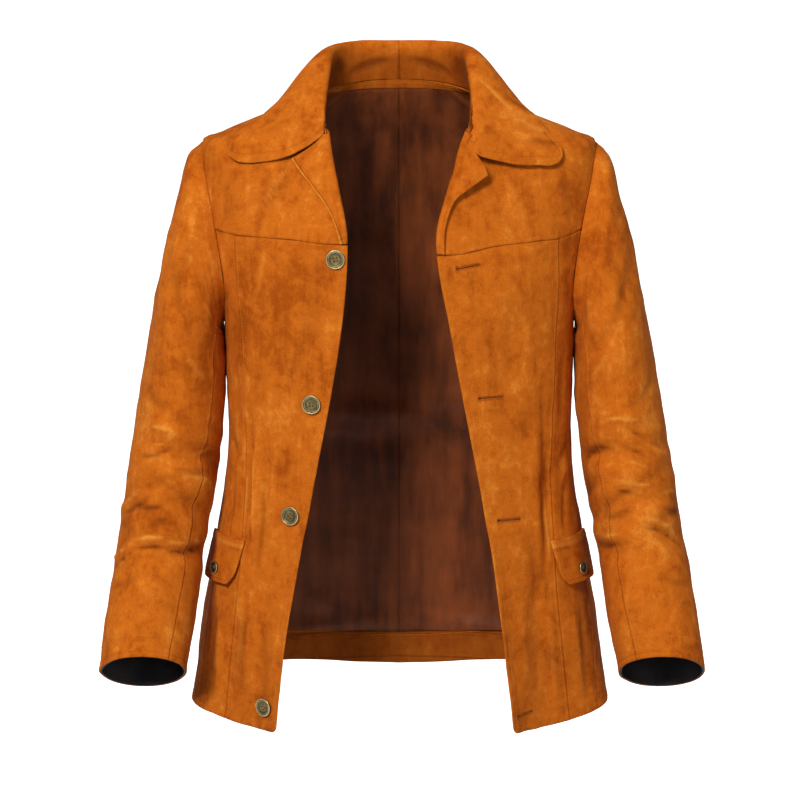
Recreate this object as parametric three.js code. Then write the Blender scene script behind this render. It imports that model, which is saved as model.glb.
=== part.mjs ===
// A suede jacket, worn open and filled out with no wearer. Millimetres, +Z up, front towards -Y,
// origin at the middle of the neck opening. The wearer's right is -X and the wearer's left is +X.
import * as THREE from 'three';

// Cloth and seams
const SUEDE = 1.6; // one layer of suede
const SATIN = 1.0; // lining with its seam allowance
const DOUBLED = 2.6; // two layers of suede sewn back to back, as in a collar or a lapel
const SEAM_GAP = 0.3; // between two pieces that are sewn together
const LAYER_GAP = 0.3; // between two layers that lie on each other

// Levels run down the body in millimetres of cloth from the neck seam to the hem
const NECK_BAND_LEVEL = 10; // lower edge of the band inside the back neck
const HEM_LEVEL = 725;
const FACING_LEVEL = 684; // upper edge of the strip inside the back hem
const SHOULDER_T = 0.5; // the shoulder line, as a share of the half ring from back to front

// Rings of the body. The back quarter runs from the centre back to the shoulder line or side, and
// the front quarter from there to the front edge, which it reaches at the given turn in degrees
// (0 across the chest, 90 straight forward). edgeR and edgeL are the edge's x on the wearer's
// right and left, and fullL is how much fuller the wearer's left side is.
const RINGS = [
  { name: 'neck', level: 0, fullL: 0, backY: 70, backZ: 14, sideX: 86, sideY: 8, sideZ: 6,
    edgeR: 84, edgeL: 81, edgeY: -74, edgeZ: -33, turn: 85 },
  { name: 'mid shoulder', level: 45, fullL: 0, backY: 86, backZ: -32, sideX: 158, sideY: 4, sideZ: -21,
    edgeR: 78, edgeL: 69, edgeY: -86, edgeZ: -56, turn: 60 },
  { name: 'outer shoulder', level: 78, fullL: 0, backY: 97, backZ: -65, sideX: 208, sideY: 1, sideZ: -41,
    edgeR: 72, edgeL: 62, edgeY: -95, edgeZ: -78, turn: 38 },
  { name: 'shoulder tip', level: 95, fullL: 0, backY: 102, backZ: -82, sideX: 229, sideY: 0, sideZ: -52,
    edgeR: 69, edgeL: 57, edgeY: -99, edgeZ: -90, turn: 30 },
  { name: 'yoke', level: 155, fullL: 0, backY: 112, backZ: -145, sideX: 224, sideY: -2, sideZ: -150,
    edgeR: 58, edgeL: 42, edgeY: -115, edgeZ: -150, turn: 8 },
  { name: 'armpit', level: 265, fullL: 0.8, backY: 118, backZ: -258, sideX: 205, sideY: -2, sideZ: -262,
    edgeR: 66, edgeL: 59, edgeY: -124, edgeZ: -258, turn: 5 },
  { name: 'waist', level: 420, fullL: 2.2, backY: 112, backZ: -415, sideX: 203, sideY: -5, sideZ: -418,
    edgeR: 95, edgeL: 90, edgeY: -129, edgeZ: -420, turn: 18 },
  { name: 'pocket', level: 535, fullL: 1, backY: 114, backZ: -532, sideX: 221, sideY: -14, sideZ: -532,
    edgeR: 117, edgeL: 110, edgeY: -134, edgeZ: -532, turn: 30 },
  { name: 'low hip', level: 635, fullL: 1.5, backY: 116, backZ: -632, sideX: 237, sideY: -26, sideZ: -632,
    edgeR: 134, edgeL: 124, edgeY: -136, edgeZ: -634, turn: 42 },
  { name: 'hem', level: 725, fullL: 2.5, backY: 116, backZ: -722, sideX: 249, sideY: -38, sideZ: -722,
    edgeR: 144, edgeL: 134, edgeY: -135, edgeZ: -725.5, turn: 50 },
];
const BACK_HANDLE = 0.62; // fullness of the back quarter's curve
const SIDE_HANDLE = 0.6; // fullness of the front quarter's curve at the side
const EDGE_HANDLE = 0.45; // and at the front edge

// The armhole is an oval in t and level. Its rows and the sleeve's columns share these angles.
const ARMHOLE = { middle: 180, half: 85, wide: 0.125, degrees: 18 };
const YOKE_ANGLE = 72; // where the yoke seam meets the armhole

// Seams that run down the body: their t at each level
const PRINCESS_SEAM = [
  { level: 154, t: 0.71 }, { level: 225, t: 0.69 }, { level: 314, t: 0.697 }, { level: 405, t: 0.731 },
  { level: 520, t: 0.775 }, { level: 585, t: 0.785 }, { level: 725, t: 0.775 },
];
const SIDE_SEAM = [
  { level: 265, t: 0.5 }, { level: 310, t: 0.53 }, { level: 420, t: 0.568 }, { level: 636, t: 0.61 },
  { level: 725, t: 0.635 },
];
// How far the yoke seam drops below its level towards the front edge, on each side
const YOKE_DROP = [
  { t: 0.63, right: 0, left: 0 }, { t: 0.7, right: 2, left: 5 }, { t: 0.8, right: 2, left: 7 },
  { t: 0.88, right: 3, left: 10 }, { t: 0.95, right: 6, left: 17 }, { t: 1.0, right: 7, left: 19 },
];
const YOKE_DROP_REACH = 90; // the drop fades out this far above and below the seam
// How far the hem hangs below its level, on each side, and where that starts and is complete
const HEM_DROP = [
  { t: 0, right: 2.5, left: 2.5 }, { t: 0.06, right: 0, left: 0 }, { t: 0.12, right: -5, left: -5 },
  { t: 0.18, right: -8.5, left: -8.5 }, { t: 0.3, right: -9.5, left: -9.5 }, { t: 0.45, right: -8, left: -7.5 },
  { t: 0.6, right: -4.6, left: -3 }, { t: 0.7, right: -1.9, left: 0.6 }, { t: 0.8, right: 2.5, left: 4.9 },
  { t: 0.9, right: 5.5, left: 7.1 }, { t: 0.95, right: 4.8, left: 5.8 }, { t: 1, right: 3, left: 4.5 },
];
const HEM_DROP_FROM = 560;
const HEM_DROP_TO = 700;

// Folds of the body, each a soft ridge (+) or trough (-) along a line from one place to another
const BODY_FOLDS = [
  { name: 'right yoke drape', t1: -0.88, level1: 88, t2: -0.775, level2: 140, height: 3, wide: 9 },
  { name: 'right yoke hollow', t1: -0.86, level1: 112, t2: -0.73, level2: 148, height: -3, wide: 12 },
  { name: 'right waist trough', t1: -0.74, level1: 372, t2: -0.8, level2: 505, height: -5, wide: 12 },
  { name: 'right waist ridge', t1: -0.78, level1: 385, t2: -0.83, level2: 520, height: 4, wide: 11 },
  { name: 'right chest hollow', t1: -0.8, level1: 215, t2: -0.86, level2: 330, height: -3, wide: 20 },
  { name: 'right hip ridge', t1: -0.86, level1: 560, t2: -0.85, level2: 715, height: 4, wide: 20 },
  { name: 'left waist trough', t1: 0.75, level1: 395, t2: 0.8, level2: 510, height: -5, wide: 12 },
  { name: 'left waist ridge', t1: 0.8, level1: 380, t2: 0.84, level2: 500, height: 3.5, wide: 12 },
  { name: 'left chest hollow', t1: 0.82, level1: 230, t2: 0.87, level2: 320, height: -3, wide: 18 },
  { name: 'left hip trough', t1: 0.87, level1: 575, t2: 0.88, level2: 712, height: -4, wide: 18 },
  { name: 'back blade fold right', t1: -0.3, level1: 120, t2: -0.18, level2: 330, height: -4, wide: 20 },
  { name: 'back blade fold left', t1: 0.31, level1: 130, t2: 0.2, level2: 350, height: -4, wide: 22 },
  { name: 'back waist fold', t1: -0.28, level1: 398, t2: 0.22, level2: 412, height: -5, wide: 14 },
  { name: 'back waist ridge', t1: -0.2, level1: 440, t2: 0.3, level2: 432, height: 3.5, wide: 15 },
  { name: 'back skirt fold right', t1: -0.24, level1: 470, t2: -0.22, level2: 715, height: 5, wide: 24 },
  { name: 'back skirt fold left', t1: 0.25, level1: 490, t2: 0.21, level2: 715, height: 5, wide: 26 },
];
const RING_LENGTH = 600; // millimetres of cloth per unit of t, for the width of a fold

// Sections of a sleeve, from the armhole down to the cuff. The first takes the armhole's own shape,
// and round says how far each has turned into an oval. tilt is the section's slope in degrees.
const SLEEVE_ROWS = [
  { down: 0, outerX: 229, outerZ: -52, innerX: 205, innerZ: -262, midY: 0, half: 60, tilt: 0, round: 0 },
  { down: 1, outerX: 248, outerZ: -71, innerX: 207, innerZ: -266, midY: -1, half: 68, tilt: 0, round: 0.3 },
  { down: 2, outerX: 260, outerZ: -118, innerX: 208, innerZ: -270, midY: -2, half: 75, tilt: 1, round: 0.6 },
  { down: 3, outerX: 272, outerZ: -165, innerX: 206.5, innerZ: -275, midY: -3, half: 79, tilt: 2, round: 0.85 },
  { down: 4, outerX: 282, outerZ: -212, innerX: 206, innerZ: -282, midY: -5, half: 80, tilt: 3, round: 1 },
  { down: 5, outerX: 292, outerZ: -262, innerX: 206, innerZ: -293, midY: -8, half: 79, tilt: 5, round: 1 },
  { down: 6, outerX: 301.5, outerZ: -318, innerX: 206.5, innerZ: -325, midY: -14, half: 76, tilt: 8, round: 1 },
  { down: 7, outerX: 311.5, outerZ: -375, innerX: 208.5, innerZ: -372, midY: -24, half: 72, tilt: 13, round: 1 },
  { down: 8, outerX: 320, outerZ: -430, innerX: 214, innerZ: -428, midY: -40, half: 67, tilt: 18, round: 1 },
  { down: 9, outerX: 328.5, outerZ: -485, innerX: 223, innerZ: -483, midY: -61, half: 62, tilt: 23, round: 1 },
  { down: 10, outerX: 337, outerZ: -545, innerX: 232.5, innerZ: -545, midY: -89, half: 57, tilt: 27, round: 1 },
  { down: 11, outerX: 344.5, outerZ: -595, innerX: 240.5, innerZ: -597, midY: -114, half: 52, tilt: 31, round: 1 },
  { down: 12, outerX: 350.6, outerZ: -652, innerX: 250.5, innerZ: -651, midY: -140, half: 48.5, tilt: 39, round: 1 },
];
const CUFF_DOWN = 12;
const SLEEVE_SWAY = 4; // both cuffs hang this far towards the wearer's left
// Angles round a sleeve: 0 outside, 90 front, 180 against the body, 270 back
const FRONT_SLEEVE_SEAM = [{ down: 0, angle: 144 }, { down: 6, angle: 142 }, { down: 12, angle: 130 }];
const BACK_SLEEVE_SEAM = [{ down: 0, angle: 216 }, { down: 6, angle: 232 }, { down: 12, angle: 244 }];
const TOP_SLEEVE_COLUMNS = 16;
const UNDER_SLEEVE_COLUMNS = 4;
// Rows of a sleeve's cloth: close together at the armhole and over the elbow's wrinkles
const SLEEVE_STEPS = [
  { from: 0, to: 1, count: 2 }, { from: 1, to: 7, count: 8 }, { from: 7, to: 10.2, count: 8 },
  { from: 10.2, to: 12, count: 2 },
];
const SLEEVE_LINING_DOWN = 9.4; // the dark lining is built from here to just inside the cuff
const SLEEVE_LINING_END = 11.99;
// Wrinkles of the sleeves, each along a line from one place to another
const SLEEVE_FOLDS = [
  { angle1: 20, down1: 7.5, angle2: 150, down2: 7.9, height: -4, wide: 9 },
  { angle1: 60, down1: 8.1, angle2: 178, down2: 7.8, height: -5, wide: 10 },
  { angle1: 25, down1: 8.75, angle2: 120, down2: 8.4, height: -4.5, wide: 9 },
  { angle1: 75, down1: 8.85, angle2: 185, down2: 9.1, height: -5, wide: 10 },
  { angle1: 15, down1: 9.35, angle2: 95, down2: 9.7, height: -4, wide: 9 },
  { angle1: 80, down1: 9.95, angle2: 190, down2: 9.6, height: -5.5, wide: 9 },
  { angle1: 35, down1: 3.2, angle2: 140, down2: 5.6, height: -4, wide: 16 },
  { angle1: 300, down1: 7.6, angle2: 225, down2: 8.1, height: -3, wide: 12 },
  { angle1: 330, down1: 8.8, angle2: 250, down2: 9.2, height: -3, wide: 12 },
];
const SLEEVE_ROW_LENGTH = 55; // millimetres of cloth between two rows
const SLEEVE_DEGREE = 1.1; // millimetres of cloth per degree round the sleeve

const COLLAR_STATIONS = 12;
const COLLAR_SEAM = 0.01; // half the gap at the centre back, in stations
// Stations of half the collar from the centre back to the front. neck is the place on the neckline.
// The fall leaves its fold at the angle leave below level, and bellies out from the body by belly.
const COLLAR_ROWS = [
  { at: 0, neck: 0, rise: 0.5, sink: 1.3, foldX: 0, foldY: 74, foldZ: 58.5, edgeT: 0, edgeLevel: 32,
    lift: 6, reach: 12, leave: 0, belly: 6, sag: 0 },
  { at: 1, neck: 0.25, rise: 1.5, sink: 1.1, foldX: 49, foldY: 66, foldZ: 58.5, edgeT: 0.24, edgeLevel: 33,
    lift: 6, reach: 12, leave: 0, belly: 6, sag: 0 },
  { at: 2, neck: 0.4, rise: 1.8, sink: 0.9, foldX: 74, foldY: 44, foldZ: 56, edgeT: 0.38, edgeLevel: 32,
    lift: 5.5, reach: 12, leave: 0, belly: 6, sag: 0 },
  { at: 3, neck: 0.52, rise: 1.8, sink: 0.8, foldX: 83.5, foldY: 18, foldZ: 49.5, edgeT: 0.5, edgeLevel: 34,
    lift: 5, reach: 12, leave: 8, belly: 3.5, sag: 0 },
  { at: 4, neck: 0.68, rise: 2, sink: 0.8, foldX: 86, foldY: -14, foldZ: 24, edgeT: 0.58, edgeLevel: 43,
    lift: 5, reach: 12, leave: 16, belly: 4, sag: 0 },
  { at: 5, neck: 0.83, rise: 2.5, sink: 0.9, foldX: 86.5, foldY: -44, foldZ: -4, edgeT: 0.655, edgeLevel: 65,
    lift: 5, reach: 16, leave: 37, belly: 8, sag: 9 },
  { at: 6, neck: 0.97, rise: 2.5, sink: 0.9, foldX: 85, foldY: -71, foldZ: -27, edgeT: 0.71, edgeLevel: 97,
    lift: 6, reach: 35, leave: 66, belly: 11, sag: 33 },
];

// Each lapel is the top of a front turned back. v runs from the notch to where the lapel ends.
// edgeT and edgeLevel are where its outer edge lies over the front, and lift is how far above it.
const LAPEL_RIGHT = [
  { v: 0, roll: 6, edgeT: 0.877, edgeLevel: 84, lift: 9, radius: 3.2 },
  { v: 0.35, roll: 54, edgeT: 0.9285, edgeLevel: 102.5, lift: 7.5, radius: 3.2 },
  { v: 0.65, roll: 102, edgeT: 0.967, edgeLevel: 125, lift: 5, radius: 3 },
  { v: 1, roll: 159.5, edgeT: 0.985, edgeLevel: 160, lift: 3.3, radius: 2.5 },
];
const LAPEL_LEFT = [
  { v: 0, roll: 6, edgeT: 0.9166, edgeLevel: 99, lift: 14, radius: 3.2 },
  { v: 0.35, roll: 54, edgeT: 0.961, edgeLevel: 108.5, lift: 9.5, radius: 3.2 },
  { v: 0.6, roll: 98, edgeT: 0.982, edgeLevel: 119, lift: 6, radius: 3 },
  { v: 1, roll: 171, edgeT: 0.985, edgeLevel: 171.5, lift: 3.3, radius: 2.5 },
];
const LAPEL_STEPS = 6;
const LAPEL_BELLY = 2; // how far a lapel bows out between its turn and its edge
const LAPEL_UNDER = 7; // how far the lapel reaches in behind the front
const YOKE_BACK = { from: 4.5, to: 4.1 }; // how far a yoke's front edge lies back inside the lapel's turn

// Pocket flaps, from the seam at the top to the lower edge: half is half the length in t
const FLAP_ROWS = [
  { down: 0, half: 0.13, lift: 0.8 }, { down: 7, half: 0.13, lift: 0.9 },
  { down: 28, half: 0.122, lift: 2.5 }, { down: 44, half: 0.11, lift: 4 }, { down: 55, half: 0.085, lift: 5 },
];
const FLAP_THICK = 2.4;
const FLAP_T = 0.66; // middle of the flap
const FLAP_LEVEL = 511; // its upper edge

// Buttons: diameter and how thick the rim and the dish are
const FRONT_BUTTON = { radius: 11, rim: 3.4, dish: 2.2, dishRadius: 7.5 };
const FLAP_BUTTON = { radius: 7.5, rim: 2.8, dish: 1.9, dishRadius: 5 };
const BUTTONS = [
  { t: -0.975, level: 177 }, { t: -0.955, level: 341 }, { t: -0.949, level: 470 }, { t: -0.942, level: 701 },
];
const FLAP_BUTTON_DOWN = 38;
const FLAP_BUTTON_T = 0.662;
const BUTTON_SIDES = 16;
const BUTTON_LIFT = 0.7; // of a button above the cloth under it
const HEM_CORNER = 8; // radius of a front's lower corner
const HEM_CORNER_ROWS = 3;

// Finishes
const suede = new THREE.MeshStandardMaterial({ color: 0xc0641f, roughness: 0.95, metalness: 0 });
const satin = new THREE.MeshStandardMaterial({ color: 0x3c1e12, roughness: 0.5, metalness: 0 });
const sleeveSatin = new THREE.MeshStandardMaterial({ color: 0x151414, roughness: 0.5, metalness: 0 });
const brass = new THREE.MeshStandardMaterial({ color: 0x6e5c3c, roughness: 0.4, metalness: 0.9 });

const radians = (degrees) => degrees * Math.PI / 180;
const mix = (a, b, f) => a + (b - a) * f;
const mixPoint = (a, b, f) => a.map((value, i) => mix(value, b[i], f));
const plus = (a, b, scale = 1) => a.map((value, i) => value + b[i] * scale);
const minus = (a, b) => plus(a, b, -1);
const lengthOf = (a) => Math.hypot(...a);
const unit = (a) => a.map((value) => value / (lengthOf(a) || 1));
const cross = (a, b) => [a[1] * b[2] - a[2] * b[1], a[2] * b[0] - a[0] * b[2], a[0] * b[1] - a[1] * b[0]];
const steps = (count) => Array.from({ length: count + 1 }, (_, i) => i / count);

// Smooth value of one column of a table, whose rows are in order of the key
function along(table, key, column, at) {
  const last = table.length - 1;
  let i = 0;
  while (i < last - 1 && at > table[i + 1][key]) i += 1;
  const slope = (row) => {
    const before = table[Math.max(0, row - 1)];
    const after = table[Math.min(last, row + 1)];
    return (after[column] - before[column]) / (after[key] - before[key]);
  };
  const start = table[i];
  const end = table[i + 1];
  const width = end[key] - start[key];
  const f = (at - start[key]) / width;
  if (f < 0) return start[column] + slope(i) * width * f;
  if (f > 1) return end[column] + slope(i + 1) * width * (f - 1);
  const ease = f * f * (3 - 2 * f);
  return mix(start[column], end[column], ease)
    + slope(i) * width * f * (1 - f) * (1 - f) - slope(i + 1) * width * f * f * (1 - f);
}

function bezier(a, b, c, d, f) {
  const g = 1 - f;
  return g * g * g * a + 3 * g * g * f * b + 3 * g * f * f * c + f * f * f * d;
}
const bezierPoint = (a, b, c, d, f) => a.map((value, i) => bezier(value, b[i], c[i], d[i], f));

// Height of the folds at a place, from lines in a flat plane measured in millimetres
function foldHeight(folds, x, y) {
  let height = 0;
  for (const fold of folds) {
    const dx = fold.x2 - fold.x1;
    const dy = fold.y2 - fold.y1;
    const f = ((x - fold.x1) * dx + (y - fold.y1) * dy) / (dx * dx + dy * dy);
    const near = Math.min(1, Math.max(0, f));
    const away = Math.hypot(x - fold.x1 - dx * near, y - fold.y1 - dy * near) / fold.wide;
    const fade = Math.sin(Math.PI * Math.min(1, Math.max(0, mix(0.12, 0.88, near))));
    height += fold.height * fade * Math.exp(-away * away);
  }
  return height;
}
const BODY_FOLD_LINES = BODY_FOLDS.map((fold) => ({
  x1: fold.t1 * RING_LENGTH, y1: fold.level1, x2: fold.t2 * RING_LENGTH, y2: fold.level2,
  height: fold.height, wide: fold.wide,
}));
const SLEEVE_FOLD_LINES = SLEEVE_FOLDS.map((fold) => ({
  x1: fold.angle1 * SLEEVE_DEGREE, y1: fold.down1 * SLEEVE_ROW_LENGTH,
  x2: fold.angle2 * SLEEVE_DEGREE, y2: fold.down2 * SLEEVE_ROW_LENGTH,
  height: fold.height, wide: fold.wide,
}));

// Point of the smooth body, with t from 0 at the centre back to 1 or -1 at a front edge
function bodyForm(t, level) {
  const side = t < 0 ? -1 : 1;
  const share = Math.abs(t);
  const at = (column) => along(RINGS, 'level', column, level);
  const sideX = at('sideX') + (side < 0 ? 0 : at('fullL'));
  const sideY = at('sideY');
  const sideZ = at('sideZ');
  if (share <= SHOULDER_T) {
    const f = share / SHOULDER_T;
    const backY = at('backY');
    return [
      side * bezier(0, BACK_HANDLE * sideX, sideX, sideX, f),
      bezier(backY, backY, mix(sideY, backY, BACK_HANDLE), sideY, f),
      mix(at('backZ'), sideZ, f * f * (3 - 2 * f)),
    ];
  }
  const f = (share - SHOULDER_T) / (1 - SHOULDER_T);
  const edgeX = at(side < 0 ? 'edgeR' : 'edgeL');
  const edgeY = at('edgeY');
  const turn = radians(at('turn'));
  const reach = EDGE_HANDLE * Math.hypot(sideX - edgeX, sideY - edgeY);
  return [
    side * bezier(sideX, sideX, edgeX + reach * Math.cos(turn), edgeX, f),
    bezier(sideY, mix(sideY, edgeY, SIDE_HANDLE), edgeY + reach * Math.sin(turn), edgeY, f),
    mix(sideZ, at('edgeZ'), 1 - Math.cos(radians(90 * f))),
  ];
}

// Slopes of the smooth body along t and along level, and its outward normal
function bodyFrame(t, level) {
  const dt = 0.002;
  const dl = 1;
  const alongT = minus(bodyForm(t + dt, level), bodyForm(t - dt, level)).map((v) => v / (2 * dt));
  const alongLevel = minus(bodyForm(t, level + dl), bodyForm(t, level - dl)).map((v) => v / (2 * dl));
  return { alongT, alongLevel, normal: unit(cross(alongT, alongLevel)) };
}

// Point of the cloth, lifted from the outer face of the suede
function bodyPoint(t, level, lift = 0) {
  const height = foldHeight(BODY_FOLD_LINES, t * RING_LENGTH, level);
  return plus(bodyForm(t, level), bodyFrame(t, level).normal, lift + height);
}

// The place that lies the given millimetres along t and along level from another
function shifted(t, level, acrossBy, downBy) {
  const frame = bodyFrame(t, level);
  return [t + acrossBy / lengthOf(frame.alongT), level + downBy / lengthOf(frame.alongLevel)];
}

// Place on the armhole at an angle from its top, 90 in front, grown by some millimetres
function armhole(angle, side, grow = 0) {
  const a = radians(angle);
  const t = SHOULDER_T + ARMHOLE.wide * Math.sin(a);
  const level = ARMHOLE.middle - ARMHOLE.half * Math.cos(a);
  const [grownT, grownLevel] = shifted(t, level, grow * Math.sin(a), -grow * Math.cos(a));
  return [side * grownT, grownLevel];
}

// Sleeve section axes and centre at a row
function sleeveForm(angle, down, side) {
  const at = (column) => along(SLEEVE_ROWS, 'down', column, down);
  const tilt = radians(at('tilt'));
  const half = at('half');
  const round = Math.min(1, at('round'));
  const middle = [(at('outerX') + at('innerX')) / 2, at('midY'), (at('outerZ') + at('innerZ')) / 2];
  const outward = [(at('outerX') - at('innerX')) / 2, 0, (at('outerZ') - at('innerZ')) / 2];
  const away = unit([outward[2], 0, -outward[0]]);
  const forward = [0, -half * Math.cos(tilt), half * Math.sin(tilt)];
  let u = Math.cos(radians(angle));
  let v = Math.sin(radians(angle));
  let w = 0;
  if (round < 1) {
    const first = SLEEVE_ROWS[0];
    const axis = [(first.outerX - first.innerX) / 2, 0, (first.outerZ - first.innerZ) / 2];
    const size = lengthOf(axis);
    const seam = bodyForm(...armhole(angle, side, -SEAM_GAP));
    const dx = side * seam[0] - (first.outerX + first.innerX) / 2;
    const dz = seam[2] - (first.outerZ + first.innerZ) / 2;
    u = mix((dx * axis[0] + dz * axis[2]) / size / size, u, round);
    v = mix(-seam[1] / first.half, v, round);
    w = mix((dx * axis[2] - dz * axis[0]) / size, 0, round);
  }
  const point = plus(plus(plus(middle, outward, u), forward, v), away, w);
  const sway = SLEEVE_SWAY * (down / CUFF_DOWN) ** 2;
  return [side * point[0] + sway, point[1], point[2]];
}

// Point of a sleeve, lifted outward from its outer face
function sleevePoint(angle, down, side, lift = 0) {
  const da = 2;
  const dd = 0.04;
  const upper = Math.max(0, down - dd);
  const round = minus(sleeveForm(angle + da, down, side), sleeveForm(angle - da, down, side));
  const lower = minus(sleeveForm(angle, down + dd, side), sleeveForm(angle, upper, side));
  let normal = unit(cross(round, lower).map((value) => value * side));
  if (down < 1) {
    // at the armhole the wall stands square to the body on top and square to the sleeve below
    const flat = bodyFrame(...armhole(angle, side)).normal;
    const share = (1 - down) * Math.cos(radians(angle / 2)) ** 2;
    normal = unit(mixPoint(normal, flat, share));
  }
  const turned = ((angle % 360) + 360) % 360;
  const fade = Math.min(1, down);
  const height = foldHeight(SLEEVE_FOLD_LINES, turned * SLEEVE_DEGREE, down * SLEEVE_ROW_LENGTH) * fade;
  return plus(sleeveForm(angle, down, side), normal, lift + height);
}

// Closed wall between two grids of points. A tube's rows close on themselves.
function wall(name, material, outer, inner, tube = false) {
  const rows = outer.length;
  const columns = outer[0].length;
  const positions = [...outer.flat(), ...inner.flat()];
  const faces = [];
  const id = (layer, row, column) => layer * rows * columns + row * columns + (column % columns);
  const span = (a, b) => lengthOf(minus(positions[a], positions[b]));
  const quad = (a, b, c, d) => {
    if (span(a, c) <= span(b, d)) faces.push([a, b, c], [a, c, d]);
    else faces.push([a, b, d], [b, c, d]);
  };
  const across = tube ? columns : columns - 1;
  for (let row = 0; row < rows - 1; row += 1) {
    for (let column = 0; column < across; column += 1) {
      const next = column + 1;
      quad(id(0, row, column), id(0, row + 1, column), id(0, row + 1, next), id(0, row, next));
      quad(id(1, row, column), id(1, row, next), id(1, row + 1, next), id(1, row + 1, column));
    }
    if (!tube) {
      const end = columns - 1;
      quad(id(0, row, 0), id(1, row, 0), id(1, row + 1, 0), id(0, row + 1, 0));
      quad(id(0, row, end), id(0, row + 1, end), id(1, row + 1, end), id(1, row, end));
    }
  }
  for (let column = 0; column < across; column += 1) {
    const next = column + 1;
    const end = rows - 1;
    quad(id(0, 0, column), id(0, 0, next), id(1, 0, next), id(1, 0, column));
    quad(id(0, end, column), id(1, end, column), id(1, end, next), id(0, end, next));
  }
  let volume = 0;
  for (const [a, b, c] of faces) {
    const turned = cross(positions[b], positions[c]);
    volume += positions[a].reduce((sum, value, i) => sum + value * turned[i], 0);
  }
  const outward = volume < 0 ? faces.map(([a, b, c]) => [a, c, b]) : faces;
  const geometry = new THREE.BufferGeometry();
  geometry.setAttribute('position', new THREE.Float32BufferAttribute(positions.flat(), 3));
  geometry.setIndex(outward.flat());
  geometry.computeVertexNormals();
  const mesh = new THREE.Mesh(geometry, material);
  mesh.name = name;
  return mesh;
}

// Wall of a piece cut from the body. place gives t and level from shares across and down.
function bodyWall(name, material, place, columns, rows, outerLift, innerLift) {
  const grid = (liftOf) => rows.map((down) => columns.map((across) => {
    const [t, level] = place(across, down);
    return bodyPoint(t, level, liftOf(across, down));
  }));
  const lifts = (lift) => (typeof lift === 'function' ? lift : () => lift);
  return wall(name, material, grid(lifts(outerLift)), grid(lifts(innerLift)));
}

// Yoke seam's extra level at a place near it
const YOKE_LEVEL = ARMHOLE.middle - ARMHOLE.half * Math.cos(radians(YOKE_ANGLE));
function yokeDrop(t, level) {
  const drop = along(YOKE_DROP, 't', t < 0 ? 'right' : 'left', Math.max(YOKE_DROP[0].t, Math.abs(t)));
  const near = Math.max(0, 1 - Math.abs(level - YOKE_LEVEL) / YOKE_DROP_REACH);
  return drop * near * near * (3 - 2 * near);
}

// Hem's extra level at a place near it
function hemDrop(t, level) {
  const f = Math.min(1, Math.max(0, (level - HEM_DROP_FROM) / (HEM_DROP_TO - HEM_DROP_FROM)));
  return along(HEM_DROP, 't', t < 0 ? 'right' : 'left', Math.abs(t)) * f * f * (3 - 2 * f);
}

// Levels of the rows of cloth: by angle beside the armhole, and evenly above and below it
const SHOULDER_LEVELS = [0, NECK_BAND_LEVEL, 35, 65];
const ARMHOLE_LEVELS = steps(180 / ARMHOLE.degrees).map((f) => (
  ARMHOLE.middle - ARMHOLE.half * Math.cos(Math.PI * f)));
const ARMHOLE_TOP = ARMHOLE_LEVELS[0];
const ARMHOLE_END = ARMHOLE_LEVELS[ARMHOLE_LEVELS.length - 1];
const SKIRT_ROWS = 8; // from the armpit to the facing inside the hem
const SKIRT_LEVELS = steps(SKIRT_ROWS).slice(1).map((f) => mix(ARMHOLE_END, FACING_LEVEL, f));
const ALL_LEVELS = [...SHOULDER_LEVELS, ...ARMHOLE_LEVELS, ...SKIRT_LEVELS, HEM_LEVEL];
const levelsFrom = (from, to) => ALL_LEVELS.filter((level) => level >= from - 0.01 && level <= to + 0.01);

// Half a seam's gap as a share of t
const seamT = (t, level) => SEAM_GAP / 2 / lengthOf(bodyFrame(t, level).alongT);

// Where the cloth of a back or a front starts: the shoulder seam, the armhole or the side seam
function sideEdge(level, front) {
  const turn = front ? 1 : -1;
  if (level > ARMHOLE_TOP + 0.01 && level < ARMHOLE_END - 0.01) {
    const cosine = (ARMHOLE.middle - level) / ARMHOLE.half;
    return SHOULDER_T + turn * ARMHOLE.wide * Math.sqrt(1 - cosine * cosine);
  }
  const seam = level < ARMHOLE.middle ? SHOULDER_T : along(SIDE_SEAM, 'level', 't', level);
  return seam + turn * seamT(seam, level);
}

const BACK_COLUMNS = 18;
const SIDE_COLUMNS = 3;
const FRONT_COLUMNS = 7;

function back() {
  const place = (across, level) => {
    const t = mix(-1, 1, across) * sideEdge(level, false);
    return [t, level + hemDrop(t, level)];
  };
  return bodyWall('back', suede, place, steps(BACK_COLUMNS), ALL_LEVELS, 0, -SUEDE);
}

// Shares across a yoke that meet the side panel's and front panel's columns at the yoke seam
function yokeShares() {
  const start = sideEdge(YOKE_LEVEL, true);
  const knee = (along(PRINCESS_SEAM, 'level', 't', YOKE_LEVEL) - start) / (1 - start);
  const sideShares = steps(SIDE_COLUMNS).map((f) => f * knee);
  const frontShares = steps(FRONT_COLUMNS).slice(1).map((f) => mix(knee, 1, f));
  return [...sideShares, ...frontShares];
}

// A row's level is moved half a seam's gap off the yoke seam
function offYokeSeam(level, turn) {
  return Math.abs(level - YOKE_LEVEL) < 0.01 ? level + turn * SEAM_GAP / 2 : level;
}

function frontYoke(name, side) {
  const place = (across, level) => {
    const inside = mix(YOKE_BACK.from, YOKE_BACK.to, level / YOKE_LEVEL);
    const edge = 1 - inside / lengthOf(bodyFrame(side, level).alongT);
    const t = side * mix(sideEdge(level, true), edge, across);
    return [t, offYokeSeam(level, -1) + yokeDrop(t, level)];
  };
  return bodyWall(name, suede, place, yokeShares(), levelsFrom(0, YOKE_LEVEL), 0, -SUEDE);
}

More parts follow.
